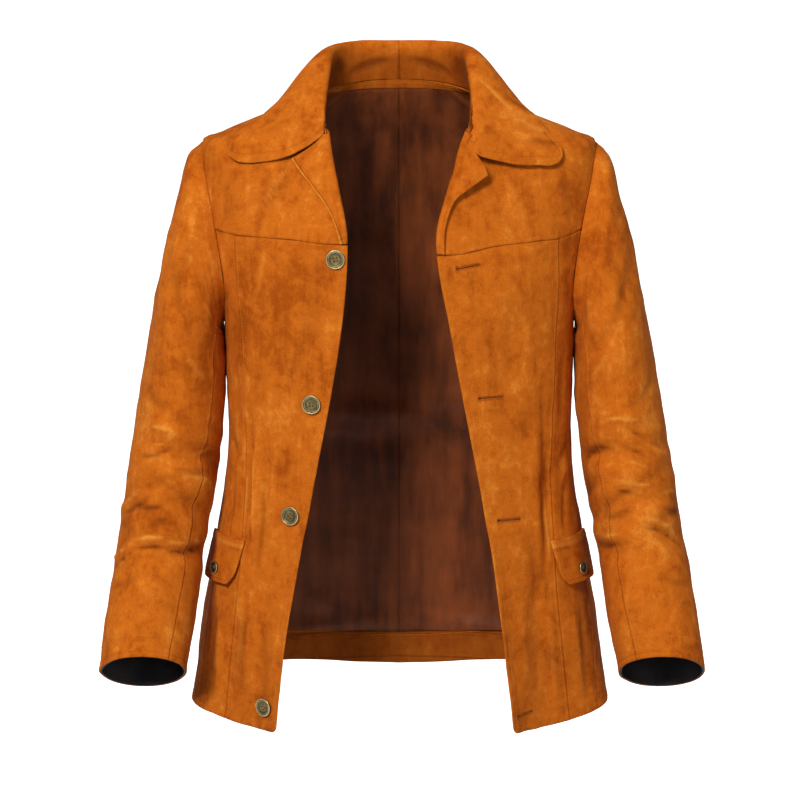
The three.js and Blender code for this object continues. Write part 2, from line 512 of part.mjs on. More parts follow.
function sidePanel(name, side) {
  const place = (across, level) => {
    const seam = along(PRINCESS_SEAM, 'level', 't', level);
    const t = side * mix(sideEdge(level, true), seam - seamT(seam, level), across);
    return [t, offYokeSeam(level, 1) + yokeDrop(t, level) + hemDrop(t, level)];
  };
  return bodyWall(name, suede, place, steps(SIDE_COLUMNS), levelsFrom(YOKE_LEVEL, HEM_LEVEL), 0, -SUEDE);
}

// Front edge's t at a level, with the hem's corner rounded off
function frontEdge(level) {
  const below = Math.max(0, level - (HEM_LEVEL - HEM_CORNER));
  const cut = HEM_CORNER - Math.sqrt(HEM_CORNER * HEM_CORNER - below * below);
  return 1 - cut / lengthOf(bodyFrame(0.99, level).alongT);
}

function frontPanel(name, side) {
  const place = (across, level) => {
    const seam = along(PRINCESS_SEAM, 'level', 't', level);
    const t = side * mix(seam + seamT(seam, level), frontEdge(level), across);
    return [t, offYokeSeam(level, 1) + yokeDrop(t, level) + hemDrop(t, level)];
  };
  const cornerLevels = steps(HEM_CORNER_ROWS).map((f) => (
    HEM_LEVEL - HEM_CORNER + HEM_CORNER * Math.sin(Math.PI / 2 * f)));
  const levels = [...levelsFrom(YOKE_LEVEL, FACING_LEVEL), ...cornerLevels];
  return bodyWall(name, suede, place, steps(FRONT_COLUMNS), levels, 0, -SUEDE);
}

// What lies inside the back follows the back's own columns, less those next to its edges
function insideBack(name, material, levels, from, to, thick) {
  const columns = steps(to - from).map((f) => mix(from, to, f));
  const half = BACK_COLUMNS / 2;
  const place = (column, level) => {
    const t = (column - half) / half * sideEdge(level, false);
    const gap = column === half ? seamT(0, level) * (from === half ? 1 : -1) : 0;
    return [from < half && to > half ? t : t + gap, level + hemDrop(t, level)];
  };
  return bodyWall(name, material, place, columns, levels, -SUEDE - LAYER_GAP, -SUEDE - LAYER_GAP - thick);
}

function backLining(name, right) {
  const half = BACK_COLUMNS / 2;
  const levels = levelsFrom(NECK_BAND_LEVEL, FACING_LEVEL);
  levels[0] += SEAM_GAP / 2;
  levels[levels.length - 1] -= SEAM_GAP / 2;
  return insideBack(name, satin, levels, right ? 1 : half, right ? half : BACK_COLUMNS - 1, SATIN);
}

const neckBand = () => (
  insideBack('neck_band', suede, [0, NECK_BAND_LEVEL - SEAM_GAP / 2], 1, BACK_COLUMNS - 1, SUEDE));
const hemFacing = () => (
  insideBack('hem_facing', suede, [FACING_LEVEL + SEAM_GAP / 2, HEM_LEVEL - 1], 0, BACK_COLUMNS, SUEDE));

const COLLAR_SHARE = 0.3; // how far from its edge to its fold the fall is fullest
// Point of half the collar. over runs from 0 at the neckline through 1 at the fold to 2 at its edge.
function collarForm(at, over, side) {
  const row = (column) => along(COLLAR_ROWS, 'at', column, at);
  const neckT = row('neck');
  const foot = bodyForm(side * neckT, -row('rise'));
  const footIn = plus(foot, bodyFrame(side * neckT, 0).normal, -row('sink'));
  const fold = [side * row('foldX'), row('foldY'), row('foldZ')];
  const edgeT = side * row('edgeT');
  const edgeNormal = bodyFrame(edgeT, row('edgeLevel')).normal;
  const edge = plus(bodyForm(edgeT, row('edgeLevel')), edgeNormal, row('lift'));
  const out = unit([edge[0] - fold[0], edge[1] - fold[1], 0]);
  if (over <= 1) {
    const rise = lengthOf(minus(fold, footIn));
    const first = plus(footIn, [0, 0, 1], rise * 0.4);
    const second = plus(fold, out, -rise * 0.2);
    return bezierPoint(footIn, first, second, fold, over);
  }
  const leave = radians(row('leave'));
  const reach = row('reach');
  const first = plus(fold, [out[0] * Math.cos(leave), out[1] * Math.cos(leave), -Math.sin(leave)], reach);
  const second = plus(mixPoint(edge, fold, COLLAR_SHARE), edgeNormal, row('belly'));
  second[2] -= row('sag');
  return bezierPoint(fold, first, second, edge, over - 1);
}

// Wall on a form of two shares, half its thickness to either side
function thickForm(name, material, form, columns, rows, thick) {
  const small = 0.01;
  const grid = (lift) => rows.map((down) => columns.map((across) => {
    const alongAcross = minus(form(across + small, down), form(across - small, down));
    const alongDown = minus(form(across, down + small), form(across, down - small));
    return plus(form(across, down), unit(cross(alongAcross, alongDown)), lift);
  }));
  return wall(name, material, grid(thick / 2), grid(-thick / 2));
}

function collar(name, side) {
  const last = COLLAR_ROWS.length - 1;
  const stations = steps(COLLAR_STATIONS).map((f) => Math.max(COLLAR_SEAM, f * last));
  const overs = [...steps(4), ...steps(5).slice(1).map((f) => 1 + f)];
  const form = (over, at) => collarForm(at, over, side);
  return thickForm(name, suede, form, overs, stations, DOUBLED);
}

// Point of a lapel. across runs from 0 behind the front, round its edge, to 1 at the lapel's edge.
const LAPEL_STRAIGHT = 0.12; // share of it that lies behind the front
const LAPEL_TURN = 0.35; // share of it by which it has turned round the edge
function lapelForm(rows, across, v, side) {
  const row = (column) => along(rows, 'v', column, v);
  const rollLevel = row('roll');
  const radius = row('radius');
  const inside = radius + DOUBLED / 2;
  if (across < LAPEL_TURN) {
    const straight = Math.max(0, 1 - across / LAPEL_STRAIGHT);
    const angle = Math.PI * Math.max(0, across - LAPEL_STRAIGHT) / (LAPEL_TURN - LAPEL_STRAIGHT);
    const beyond = radius * Math.sin(angle) - LAPEL_UNDER * straight - inside;
    const [t, level] = shifted(side, rollLevel, side * beyond, 0);
    return plus(bodyForm(t, level), bodyFrame(t, level).normal, -SUEDE / 2 - radius * Math.cos(angle));
  }
  const f = (across - LAPEL_TURN) / (1 - LAPEL_TURN);
  const [start] = shifted(side, rollLevel, -side * inside, 0);
  const t = mix(start, side * row('edgeT'), f);
  const level = mix(rollLevel, row('edgeLevel'), f);
  const rise = mix(-SUEDE / 2 + radius, row('lift'), f * f * (3 - 2 * f));
  const belly = LAPEL_BELLY * Math.sin(Math.PI * f) * (1 - v);
  return plus(bodyForm(t, level), bodyFrame(t, level).normal, rise + belly);
}

function lapel(name, side, rows) {
  const columns = [0, 0.12, 0.19, 0.235, 0.28, 0.35, 0.5, 0.67, 0.84, 1];
  const form = (across, v) => lapelForm(rows, across, v, side);
  return thickForm(name, suede, form, columns, steps(LAPEL_STEPS), DOUBLED);
}

// Rows of a sleeve between two places, from the steps
function sleeveRows(from, to) {
  const rows = SLEEVE_STEPS.flatMap(({ from: a, to: b, count }) => (
    steps(count).slice(a === 0 ? 0 : 1).map((f) => mix(a, b, f))));
  return [from, ...rows.filter((down) => down > from + 0.05 && down < to - 0.05), to];
}

function sleevePiece(name, material, side, top, rows, outerLift, innerLift) {
  const gap = SEAM_GAP / 2 / SLEEVE_DEGREE;
  const columns = steps(top ? TOP_SLEEVE_COLUMNS : UNDER_SLEEVE_COLUMNS);
  const grid = (lift) => rows.map((down) => {
    const front = along(FRONT_SLEEVE_SEAM, 'down', 'angle', down);
    const rear = along(BACK_SLEEVE_SEAM, 'down', 'angle', down);
    const start = top ? rear - 360 + gap : front + gap;
    const end = top ? front - gap : rear - gap;
    return columns.map((f) => sleevePoint(mix(start, end, f), down, side, lift));
  });
  return wall(name, material, grid(outerLift), grid(innerLift));
}

// The lining is a whole tube inside the lower sleeve, on the sleeve's own columns
function sleeveLining(name, side) {
  const rows = sleeveRows(SLEEVE_LINING_DOWN, SLEEVE_LINING_END);
  const count = TOP_SLEEVE_COLUMNS + UNDER_SLEEVE_COLUMNS;
  const grid = (lift) => rows.map((down) => {
    const front = along(FRONT_SLEEVE_SEAM, 'down', 'angle', down);
    const rear = along(BACK_SLEEVE_SEAM, 'down', 'angle', down);
    return Array.from({ length: count }, (_, i) => {
      const angle = i < TOP_SLEEVE_COLUMNS ? mix(rear - 360, front, i / TOP_SLEEVE_COLUMNS)
        : mix(front, rear, (i - TOP_SLEEVE_COLUMNS) / UNDER_SLEEVE_COLUMNS);
      return sleevePoint(angle, down, side, lift);
    });
  });
  const outer = -SUEDE - LAYER_GAP;
  return wall(name, sleeveSatin, grid(outer), grid(outer - SATIN), true);
}

function pocketFlap(name, side) {
  const place = (across, down) => {
    const half = along(FLAP_ROWS, 'down', 'half', down);
    return [side * mix(FLAP_T - half, FLAP_T + half, across), FLAP_LEVEL + down];
  };
  const rows = [0, 7, 20, 33, 45, 55];
  const lift = (across, down) => along(FLAP_ROWS, 'down', 'lift', down);
  return bodyWall(name, suede, place, steps(10), rows, (a, d) => lift(a, d) + FLAP_THICK, lift);
}

// Button with a raised rim, turned about its own axis and laid on the cloth
function button(name, size, t, level, lift) {
  const { radius, rim, dish, dishRadius } = size;
  const profile = [
    [0, 0], [radius * 0.82, 0], [radius, rim * 0.45], [radius * 0.93, rim],
    [dishRadius, rim * 0.92], [dishRadius * 0.8, dish], [0, dish],
  ];
  const geometry = new THREE.LatheGeometry(profile.map(([x, y]) => new THREE.Vector2(x, y)), BUTTON_SIDES);
  geometry.rotateX(Math.PI / 2);
  const mesh = new THREE.Mesh(geometry, brass);
  mesh.name = name;
  const { normal } = bodyFrame(t, level);
  mesh.position.set(...bodyPoint(t, level, lift));
  mesh.quaternion.setFromUnitVectors(new THREE.Vector3(0, 0, 1), new THREE.Vector3(...normal));
  return mesh;
}

const jacket = new THREE.Group();
jacket.add(back(), neckBand(), hemFacing());
jacket.add(backLining('back_lining_right', true), backLining('back_lining_left', false));
for (const [word, side, lapelRows] of [['right', -1, LAPEL_RIGHT], ['left', 1, LAPEL_LEFT]]) {
  jacket.add(frontYoke(`front_yoke_${word}`, side));
  jacket.add(sidePanel(`side_panel_${word}`, side));
  jacket.add(frontPanel(`front_panel_${word}`, side));
  jacket.add(collar(`collar_${word}`, side));
  jacket.add(lapel(`lapel_${word}`, side, lapelRows));
  const rows = sleeveRows(0, CUFF_DOWN);
  jacket.add(sleevePiece(`top_sleeve_${word}`, suede, side, true, rows, 0, -SUEDE));
  jacket.add(sleevePiece(`under_sleeve_${word}`, suede, side, false, rows, 0, -SUEDE));
  jacket.add(sleeveLining(`sleeve_lining_${word}`, side));
  jacket.add(pocketFlap(`pocket_flap_${word}`, side));
  const down = FLAP_BUTTON_DOWN;
  const lift = along(FLAP_ROWS, 'down', 'lift', down) + FLAP_THICK + BUTTON_LIFT;
  jacket.add(button(`flap_button_${word}`, FLAP_BUTTON, side * FLAP_BUTTON_T, FLAP_LEVEL + down, lift));
}
BUTTONS.forEach(({ t, level }, i) => {
  jacket.add(button(`button_${i + 1}`, FRONT_BUTTON, t, level, BUTTON_LIFT));
});

export default jacket;
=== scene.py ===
"""A suede jacket, worn open and filled out with no wearer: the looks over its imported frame.

Forms are worked out in millimetres in the part's own frame: +Z up, the wearer's front towards -Y,
the wearer's right at -X. t runs round the body from 0 at the centre back to 1 or -1 at a front edge,
and level runs down the cloth from the neck seam.
"""
import math

import bpy
import numpy as np
from mathutils import Matrix, Vector


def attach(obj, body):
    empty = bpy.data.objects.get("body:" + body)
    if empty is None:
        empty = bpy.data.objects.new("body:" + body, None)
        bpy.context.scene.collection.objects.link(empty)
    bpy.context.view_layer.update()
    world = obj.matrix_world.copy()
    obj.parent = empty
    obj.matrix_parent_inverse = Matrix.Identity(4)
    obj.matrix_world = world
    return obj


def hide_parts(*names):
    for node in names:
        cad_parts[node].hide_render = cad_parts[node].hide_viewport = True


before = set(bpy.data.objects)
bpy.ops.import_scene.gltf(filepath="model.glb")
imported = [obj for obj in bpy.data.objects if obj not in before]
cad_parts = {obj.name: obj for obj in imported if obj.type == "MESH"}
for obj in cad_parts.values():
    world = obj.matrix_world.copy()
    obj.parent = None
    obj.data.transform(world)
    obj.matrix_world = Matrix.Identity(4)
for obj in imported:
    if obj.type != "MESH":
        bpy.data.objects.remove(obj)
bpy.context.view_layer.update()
MM = 0.001


def table(columns, *rows):
    """Columns of a table by name"""
    return {name: np.array(values, float) for name, values in zip(columns.split(), zip(*rows))}


# Cloth
SUEDE = 1.6
SATIN = 1.0
DOUBLED = 2.6
SEAM_GAP = 0.3
SHOWN_GAP = 0.06  # sewn pieces all but touch
LAYER_GAP = 0.3

# Levels down the body
NECK_BAND_LEVEL = 10
HEM_LEVEL = 725
FACING_LEVEL = 684
SHOULDER_T = 0.5

RINGS = table(
    "level backY backZ sideX sideY sideZ edgeR edgeL edgeY edgeZ turn fullL",
    (0, 70, 14, 86, 8, 6, 84, 81, -74, -33, 85, 0),
    (45, 86, -32, 158, 4, -21, 78, 69, -86, -56, 60, 0),
    (78, 97, -65, 208, 1, -41, 72, 62, -95, -78, 38, 0),
    (95, 102, -82, 229, 0, -52, 69, 57, -99, -90, 30, 0),
    (155, 112, -145, 224, -2, -150, 58, 42, -115, -150, 8, 0),
    (265, 118, -258, 205, -2, -262, 66, 59, -124, -258, 5, 0.8),
    (420, 112, -415, 203, -5, -418, 95, 90, -129, -420, 18, 2.2),
    (535, 114, -532, 221, -14, -532, 117, 110, -134, -532, 30, 1),
    (635, 116, -632, 237, -26, -632, 134, 124, -136, -634, 42, 1.5),
    (725, 116, -722, 249, -38, -722, 144, 134, -135, -725.5, 50, 2.5),
)
BACK_HANDLE = 0.62
SIDE_HANDLE = 0.6
EDGE_HANDLE = 0.45

# The armhole is an oval in t and level
HOLE_MIDDLE = 180
HOLE_HALF = 85
HOLE_WIDE = 0.125
HOLE_ROUND = 80  # millimetres of cloth from its middle to its edge
HOLE_TOP = HOLE_MIDDLE - HOLE_HALF
HOLE_END = HOLE_MIDDLE + HOLE_HALF
YOKE_LEVEL = HOLE_MIDDLE - HOLE_HALF * math.cos(math.radians(72))

PRINCESS_SEAM = table(
    "level t", (154, 0.71), (225, 0.69), (314, 0.697), (405, 0.731), (520, 0.775), (585, 0.785), (725, 0.775))
SIDE_SEAM = table("level t", (265, 0.5), (310, 0.53), (420, 0.568), (636, 0.61), (725, 0.635))
YOKE_DROP = table(
    "t right left", (0.63, 0, 0), (0.7, 2, 5), (0.8, 2, 7), (0.88, 3, 10), (0.95, 6, 17), (1.0, 7, 19))
YOKE_DROP_REACH = 90
HEM_DROP = table(
    "t right left", (0, 2.5, 2.5), (0.06, 0, 0), (0.12, -5, -5), (0.18, -8.5, -8.5), (0.3, -9.5, -9.5),
    (0.45, -8, -7.5), (0.6, -4.6, -3), (0.7, -1.9, 0.6), (0.8, 2.5, 4.9), (0.9, 5.5, 7.1), (0.95, 4.8, 5.8),
    (1, 3, 4.5))
HEM_DROP_FROM = 560
HEM_DROP_TO = 700

# The body's large folds, as the solids have them: soft ridges (+) and troughs (-)
FOLD_COLUMNS = "x1 y1 x2 y2 height wide"
RING_LENGTH = 600
BODY_FOLDS = table(
    FOLD_COLUMNS,
    (-0.88, 88, -0.775, 140, 3, 9), (-0.86, 112, -0.73, 148, -3, 12), (-0.74, 372, -0.8, 505, -5, 12),
    (-0.78, 385, -0.83, 520, 4, 11), (-0.8, 215, -0.86, 330, -3, 20), (-0.86, 560, -0.85, 715, 4, 20),
    (0.75, 395, 0.8, 510, -5, 12), (0.8, 380, 0.84, 500, 3.5, 12), (0.82, 230, 0.87, 320, -3, 18),
    (0.87, 575, 0.88, 712, -4, 18), (-0.3, 120, -0.18, 330, -4, 20), (0.31, 130, 0.2, 350, -4, 22),
    (-0.28, 398, 0.22, 412, -5, 14), (-0.2, 440, 0.3, 432, 3.5, 15), (-0.24, 470, -0.22, 715, 5, 24),
    (0.25, 490, 0.21, 715, 5, 26))

SLEEVE_ROWS = table(
    "down outerX outerZ innerX innerZ midY half tilt round",
    (0, 229, -52, 205, -262, 0, 60, 0, 0), (1, 248, -71, 207, -266, -1, 68, 0, 0.3),
    (2, 260, -118, 208, -270, -2, 75, 1, 0.6), (3, 272, -165, 206.5, -275, -3, 79, 2, 0.85),
    (4, 282, -212, 206, -282, -5, 80, 3, 1), (5, 292, -262, 206, -293, -8, 79, 5, 1),
    (6, 301.5, -318, 206.5, -325, -14, 76, 8, 1), (7, 311.5, -375, 208.5, -372, -24, 72, 13, 1),
    (8, 320, -430, 214, -428, -40, 67, 18, 1), (9, 328.5, -485, 223, -483, -61, 62, 23, 1),
    (10, 337, -545, 232.5, -545, -89, 57, 27, 1), (11, 344.5, -595, 240.5, -597, -114, 52, 31, 1),
    (12, 350.6, -652, 250.5, -651, -140, 48.5, 39, 1))
CUFF_DOWN = 12
SLEEVE_SWAY = 4
FRONT_SLEEVE_SEAM = table("down angle", (0, 144), (6, 142), (12, 130))
BACK_SLEEVE_SEAM = table("down angle", (0, 216), (6, 232), (12, 244))
SLEEVE_LINING_DOWN = 9.4
SLEEVE_LINING_END = 11.99
SLEEVE_ROW_LENGTH = 55
SLEEVE_DEGREE = 1.1
SLEEVE_FOLDS = table(
    FOLD_COLUMNS,
    (20, 7.5, 150, 7.9, -4, 9), (60, 8.1, 178, 7.8, -5, 10), (25, 8.75, 120, 8.4, -4.5, 9),
    (75, 8.85, 185, 9.1, -5, 10), (15, 9.35, 95, 9.7, -4, 9), (80, 9.95, 190, 9.6, -5.5, 9),
    (35, 3.2, 140, 5.6, -4, 16), (300, 7.6, 225, 8.1, -3, 12), (330, 8.8, 250, 9.2, -3, 12))

COLLAR_ROWS = table(
    "at neck rise sink foldX foldY foldZ edgeT edgeLevel lift reach leave belly sag",
    (0, 0, 0.5, 1.3, 0, 74, 58.5, 0, 32, 6, 12, 0, 6, 0),
    (1, 0.25, 1.5, 1.1, 49, 66, 58.5, 0.24, 33, 6, 12, 0, 6, 0),
    (2, 0.4, 1.8, 0.9, 74, 44, 56, 0.38, 32, 5.5, 12, 0, 6, 0),
    (3, 0.52, 1.8, 0.8, 83.5, 18, 49.5, 0.5, 34, 5, 12, 8, 3.5, 0),
    (4, 0.68, 2, 0.8, 86, -14, 24, 0.58, 43, 5, 12, 16, 4, 0),
    (5, 0.83, 2.5, 0.9, 86.5, -44, -4, 0.655, 65, 5, 16, 37, 8, 9),
    (6, 0.97, 2.5, 0.9, 85, -71, -27, 0.71, 97, 6, 35, 66, 11, 33))
COLLAR_LAST = 6
# How far the collar's ends fall forward over the lapels, in millimetres, from its fold (1) to its edge (2)
COLLAR_ENDS_FROM = 4.3
COLLAR_ENDS = {
    "right": table("over x y z", (0.4, 0, 0, 0), (1, -1, -4.5, -7.5), (1.1, -2.2, -4.5, -5.3),
                   (1.2, -3.4, -6.7, -3.3), (1.3, -2.4, -6.8, -1), (1.4, -0.3, -5.8, 0.2), (1.5, 0, -4, 0.7),
                   (1.6, 0, -2.4, 0.8), (1.7, 0, -1.2, 0.6), (1.8, -0.6, -0.6, -0.9), (1.9, -2.2, 0, -1.6),
                   (2, -1.5, 0, 0.4)),
    "left": table("over x y z", (0.4, 0, 0, 0), (1, -8, -5, -12.6), (1.1, -8.6, -9.5, -12.7),
                  (1.2, -8.8, -16.8, -12.9), (1.3, -5.6, -14, -10.1), (1.4, -2.1, -10.5, -7.7),
                  (1.5, 0.5, -8.4, -6.1), (1.6, 0.5, -6.7, -4), (1.7, 0.6, -4.8, -2.3), (1.8, 1.4, -3.5, -3.9),
                  (1.9, 1.5, -1.7, -3.5), (2, -4.2, -1.9, -1.3)),
}
COLLAR_INWARDS = 2.2  # the sides of its fold lie this far in and down from the solid's
COLLAR_LOWER = 2.0
COLLAR_SEAM = 0.0
COLLAR_SHARE = 0.3

LAPEL_COLUMNS = "v roll edgeT edgeLevel lift radius"
LAPELS = {
    "right": table(LAPEL_COLUMNS, (0, 6, 0.877, 84, 9, 3.2), (0.35, 54, 0.9285, 102.5, 7.5, 3.2),
                   (0.65, 102, 0.967, 125, 5, 3), (1, 159.5, 0.985, 160, 3.3, 2.5)),
    "left": table(LAPEL_COLUMNS, (0, 6, 0.9166, 99, 14, 3.2), (0.35, 54, 0.961, 108.5, 9.5, 3.2),
                  (0.6, 98, 0.982, 119, 6, 3), (1, 171, 0.985, 171.5, 3.3, 2.5)),
}
LAPEL_STRAIGHT = 0.12
LAPEL_TURN = 0.35
LAPEL_BELLY = 2
LAPEL_WORN_AND_SHADED_EDGE = {"right": 1, "left": 0.2}  # how strongly its edge is marked: a pale rubbed line and a painted shadow line inside it
LAPEL_UNDER = 9
LAPEL_BEHIND = 2.15  # its hidden edge lies against the back of the front
YOKE_BACK = (4.5, 4.1)

FLAP_ROWS = table(
    "down half lift", (0, 0.13, 0.8), (7, 0.13, 0.9), (28, 0.122, 2.5), (44, 0.11, 4), (55, 0.085, 5))
FLAP_THICK = 2.4
FLAP_TUCK = 0.022  # its rear top corner lies further in than on the solid
FLAP_SLANT = -2.5
FLAP_T = 0.66
FLAP_LEVEL = 511
FLAP_DEEP = 55

BUTTONS = table("t level", (-0.975, 177), (-0.955, 341), (-0.949, 470), (-0.942, 701))
FRONT_BUTTON_RADIUS = 11
FLAP_BUTTON_RADIUS = 7.5
FLAP_BUTTON_DOWN = 38
FLAP_BUTTON_T = 0.662
BUTTON_LIFT = 0.7
HEM_CORNER = 8
BUTTONHOLES = table(
    "t1 level1 t2 level2", (0.961, 188, 0.911, 183), (0.958, 335, 0.894, 334), (0.963, 476, 0.895, 477),
    (0.974, 711, 0.915, 709))

# Creases placed one by one, finer than the solids' folds. Across the body x is t.
CREASE_COLUMNS = "x1 y1 x2 y2 height wide bend sharp"
CREASE_LENGTH = 400  # millimetres of cloth for one t
BODY_CREASES = table(
    CREASE_COLUMNS,
    # right yoke and front
    (-0.885, 86, -0.79, 136, 1.3, 3.2, 2, 0.7), (-0.86, 100, -0.77, 146, -1.0, 5, 3, 0.3),
    (-0.70, 118, -0.66, 146, -0.9, 6, 4, 0.2), (-0.80, 166, -0.745, 236, 0.9, 6, 5, 0.2),
    (-0.93, 186, -0.885, 318, -1.0, 9, 6, 0.1), (-0.905, 240, -0.87, 356, 0.8, 8, -5, 0.1),
    (-0.755, 402, -0.80, 524, -1.9, 4, 6, 0.5), (-0.785, 382, -0.832, 506, 1.5, 4, -5, 0.5),
    (-0.742, 425, -0.772, 500, 1.2, 3.4, 3, 0.6), (-0.828, 432, -0.858, 548, -1.3, 5, 4, 0.4),
    (-0.87, 380, -0.885, 478, 0.9, 6, -4, 0.3), (-0.80, 560, -0.822, 688, 1.1, 9, 6, 0.2),
    (-0.84, 590, -0.85, 700, -1.1, 8, -4, 0.2), (-0.9, 598, -0.93, 716, -1.1, 8, 5, 0.2),
    (-0.94, 346, -0.90, 362, -0.7, 3.2, 2, 0.4), (-0.938, 332, -0.90, 320, 0.7, 3, -2, 0.4),
    (-0.935, 474, -0.895, 486, -0.7, 3.2, 2, 0.4), (-0.93, 463, -0.89, 452, 0.6, 3, -2, 0.4),
    (-0.96, 182, -0.92, 196, -0.7, 3, 2, 0.4), (-0.96, 600, -0.955, 690, 0.8, 5, 2, 0.3),
    # right side panel
    (-0.60, 396, -0.68, 414, -1.2, 6, 4, 0.3), (-0.60, 420, -0.70, 436, 0.9, 6, 4, 0.3),
    (-0.64, 300, -0.66, 380, -1.0, 8, 5, 0.2), (-0.665, 440, -0.70, 506, -1.3, 5, 4, 0.4),
    (-0.69, 430, -0.715, 508, 1.1, 4.5, -3, 0.4), (-0.66, 590, -0.67, 700, -1.2, 9, 5, 0.2),
    (-0.72, 585, -0.73, 695, 0.9, 8, -5, 0.2),
    # left yoke and front
    (0.87, 96, 0.80, 140, 1.0, 6, -4, 0.3), (0.72, 112, 0.67, 146, -0.9, 6, 4, 0.2),
    (0.90, 118, 0.82, 150, -0.9, 6, -3, 0.2), (0.965, 202, 0.92, 198, 0.9, 3.5, 1, 0.5),
    (0.955, 347, 0.90, 345, 0.9, 3.6, 1, 0.5), (0.96, 488, 0.90, 490, 0.9, 3.6, 1, 0.5),
    (0.94, 215, 0.90, 320, -0.9, 8, 5, 0.1), (0.86, 190, 0.80, 300, 0.8, 9, 6, 0.1),
    (0.76, 320, 0.792, 436, -1.1, 5, 4, 0.4), (0.80, 432, 0.832, 548, -1.5, 5, 5, 0.4),
    (0.772, 448, 0.80, 536, 1.3, 4, -3, 0.5), (0.84, 372, 0.862, 470, 0.8, 7, 4, 0.2),
    (0.87, 500, 0.888, 606, -1.1, 8, 5, 0.2), (0.81, 590, 0.82, 706, 1.0, 8, -5, 0.2),
    (0.85, 610, 0.86, 716, -1.0, 8, 4, 0.2), (0.93, 560, 0.945, 694, 0.8, 7, 4, 0.2),
    # left side panel
    (0.60, 400, 0.69, 420, -1.2, 6, -4, 0.3), (0.61, 424, 0.70, 446, 0.9, 6, -4, 0.3),
    (0.64, 290, 0.66, 385, -1.0, 8, -5, 0.2), (0.67, 445, 0.71, 508, -1.3, 5, -4, 0.4),
    (0.66, 595, 0.68, 706, -1.1, 9, -5, 0.2), (0.72, 590, 0.725, 700, 0.9, 8, 4, 0.2),
    # back
    (-0.40, 210, -0.22, 168, -1.4, 8, 8, 0.2), (-0.41, 236, -0.2, 205, 1.1, 8, 8, 0.2),
    (0.41, 214, 0.2, 176, -1.4, 8, -8, 0.2), (0.42, 244, 0.24, 212, 1.1, 8, -8, 0.2),
    (-0.12, 92, 0.1, 90, -0.8, 8, 4, 0.1), (-0.44, 372, -0.12, 390, -1.6, 6, 6, 0.4),
    (-0.40, 352, -0.2, 366, 1.0, 5, 5, 0.4), (0.1, 384, 0.44, 366, -1.6, 6, -6, 0.4),
    (0.05, 426, 0.3, 418, 1.2, 5, 5, 0.4), (-0.3, 424, -0.02, 430, -1.4, 5, -5, 0.4),
    (0.14, 452, 0.4, 440, -1.2, 6, 6, 0.3), (-0.38, 446, -0.2, 458, 1.0, 6, 5, 0.3),
    (-0.1, 520, -0.09, 700, -1.2, 14, 8, 0.1), (0.08, 500, 0.1, 712, 1.3, 14, -8, 0.1),
    (-0.36, 520, -0.38, 706, -1.3, 12, 6, 0.1), (0.36, 505, 0.37, 700, -1.3, 12, -6, 0.1),
    (-0.45, 540, -0.46, 704, 1.1, 10, 5, 0.1), (0.45, 548, 0.46, 700, 1.1, 10, -5, 0.1),
)
SLEEVE_CREASING = 1.6
RIGHT_SLEEVE_CREASES = table(
    CREASE_COLUMNS,
    (52, 7.2, 102, 7.5, 1.7, 4, -3, 0.6), (45, 7.85, 95, 7.7, -2.0, 4, 4, 0.5),
    (60, 7.65, 90, 7.55, 1.2, 3, 2, 0.6), (10, 8.85, 58, 8.5, 1.9, 4, 4, 0.6),
    (20, 9.0, 70, 8.8, -2.0, 4, 4, 0.6), (60, 8.95, 95, 8.95, -1.7, 4, 3, 0.5),
    (75, 9.35, 110, 9.3, -1.6, 4, -3, 0.5), (5, 9.82, 58, 9.58, 2.2, 2.6, 3, 0.9),
    (50, 9.6, 112, 9.62, 2.0, 2.6, -3, 0.9), (105, 9.63, 175, 9.4, 2.0, 2.8, 4, 0.8),
    (8, 9.96, 60, 9.74, -2.2, 3, 3, 0.8), (55, 9.75, 115, 9.78, -1.8, 3, -3, 0.8),
    (108, 9.8, 172, 9.56, -1.8, 3.2, 4, 0.7), (110, 7.9, 160, 7.6, 1.4, 4, 4, 0.5),
    (118, 8.3, 165, 8.55, 1.4, 4, -4, 0.5), (95, 8.15, 150, 8.2, -1.4, 4, 4, 0.5),
    (30, 6.2, 88, 6.9, -1.3, 8, 6, 0.2), (95, 5.2, 140, 6.3, 1.3, 8, 6, 0.2),
    (20, 10.4, 80, 10.25, -1.1, 6, 4, 0.3), (70, 10.6, 120, 10.9, 1.0, 7, -4, 0.2),
    (15, 2.0, 50, 5.0, 1.0, 12, 8, 0.1), (75, 1.2, 70, 4.6, -1.2, 12, 8, 0.1),
    (108, 1.4, 122, 4.2, 1.2, 10, -6, 0.2), (-60, 3.0, -30, 6.2, -1.3, 12, 8, 0.1),
    (-95, 7.4, -35, 7.75, -1.8, 5, 5, 0.4), (-80, 7.9, -30, 8.15, 1.4, 5, 4, 0.4),
    (-100, 8.4, -45, 8.75, -1.8, 5, 5, 0.4), (-70, 9.1, -20, 9.35, 1.3, 5, 4, 0.4),
    (-95, 9.5, -40, 9.7, -1.5, 5, 4, 0.4), (-85, 1.6, -70, 4.8, 1.2, 12, 6, 0.1),
)
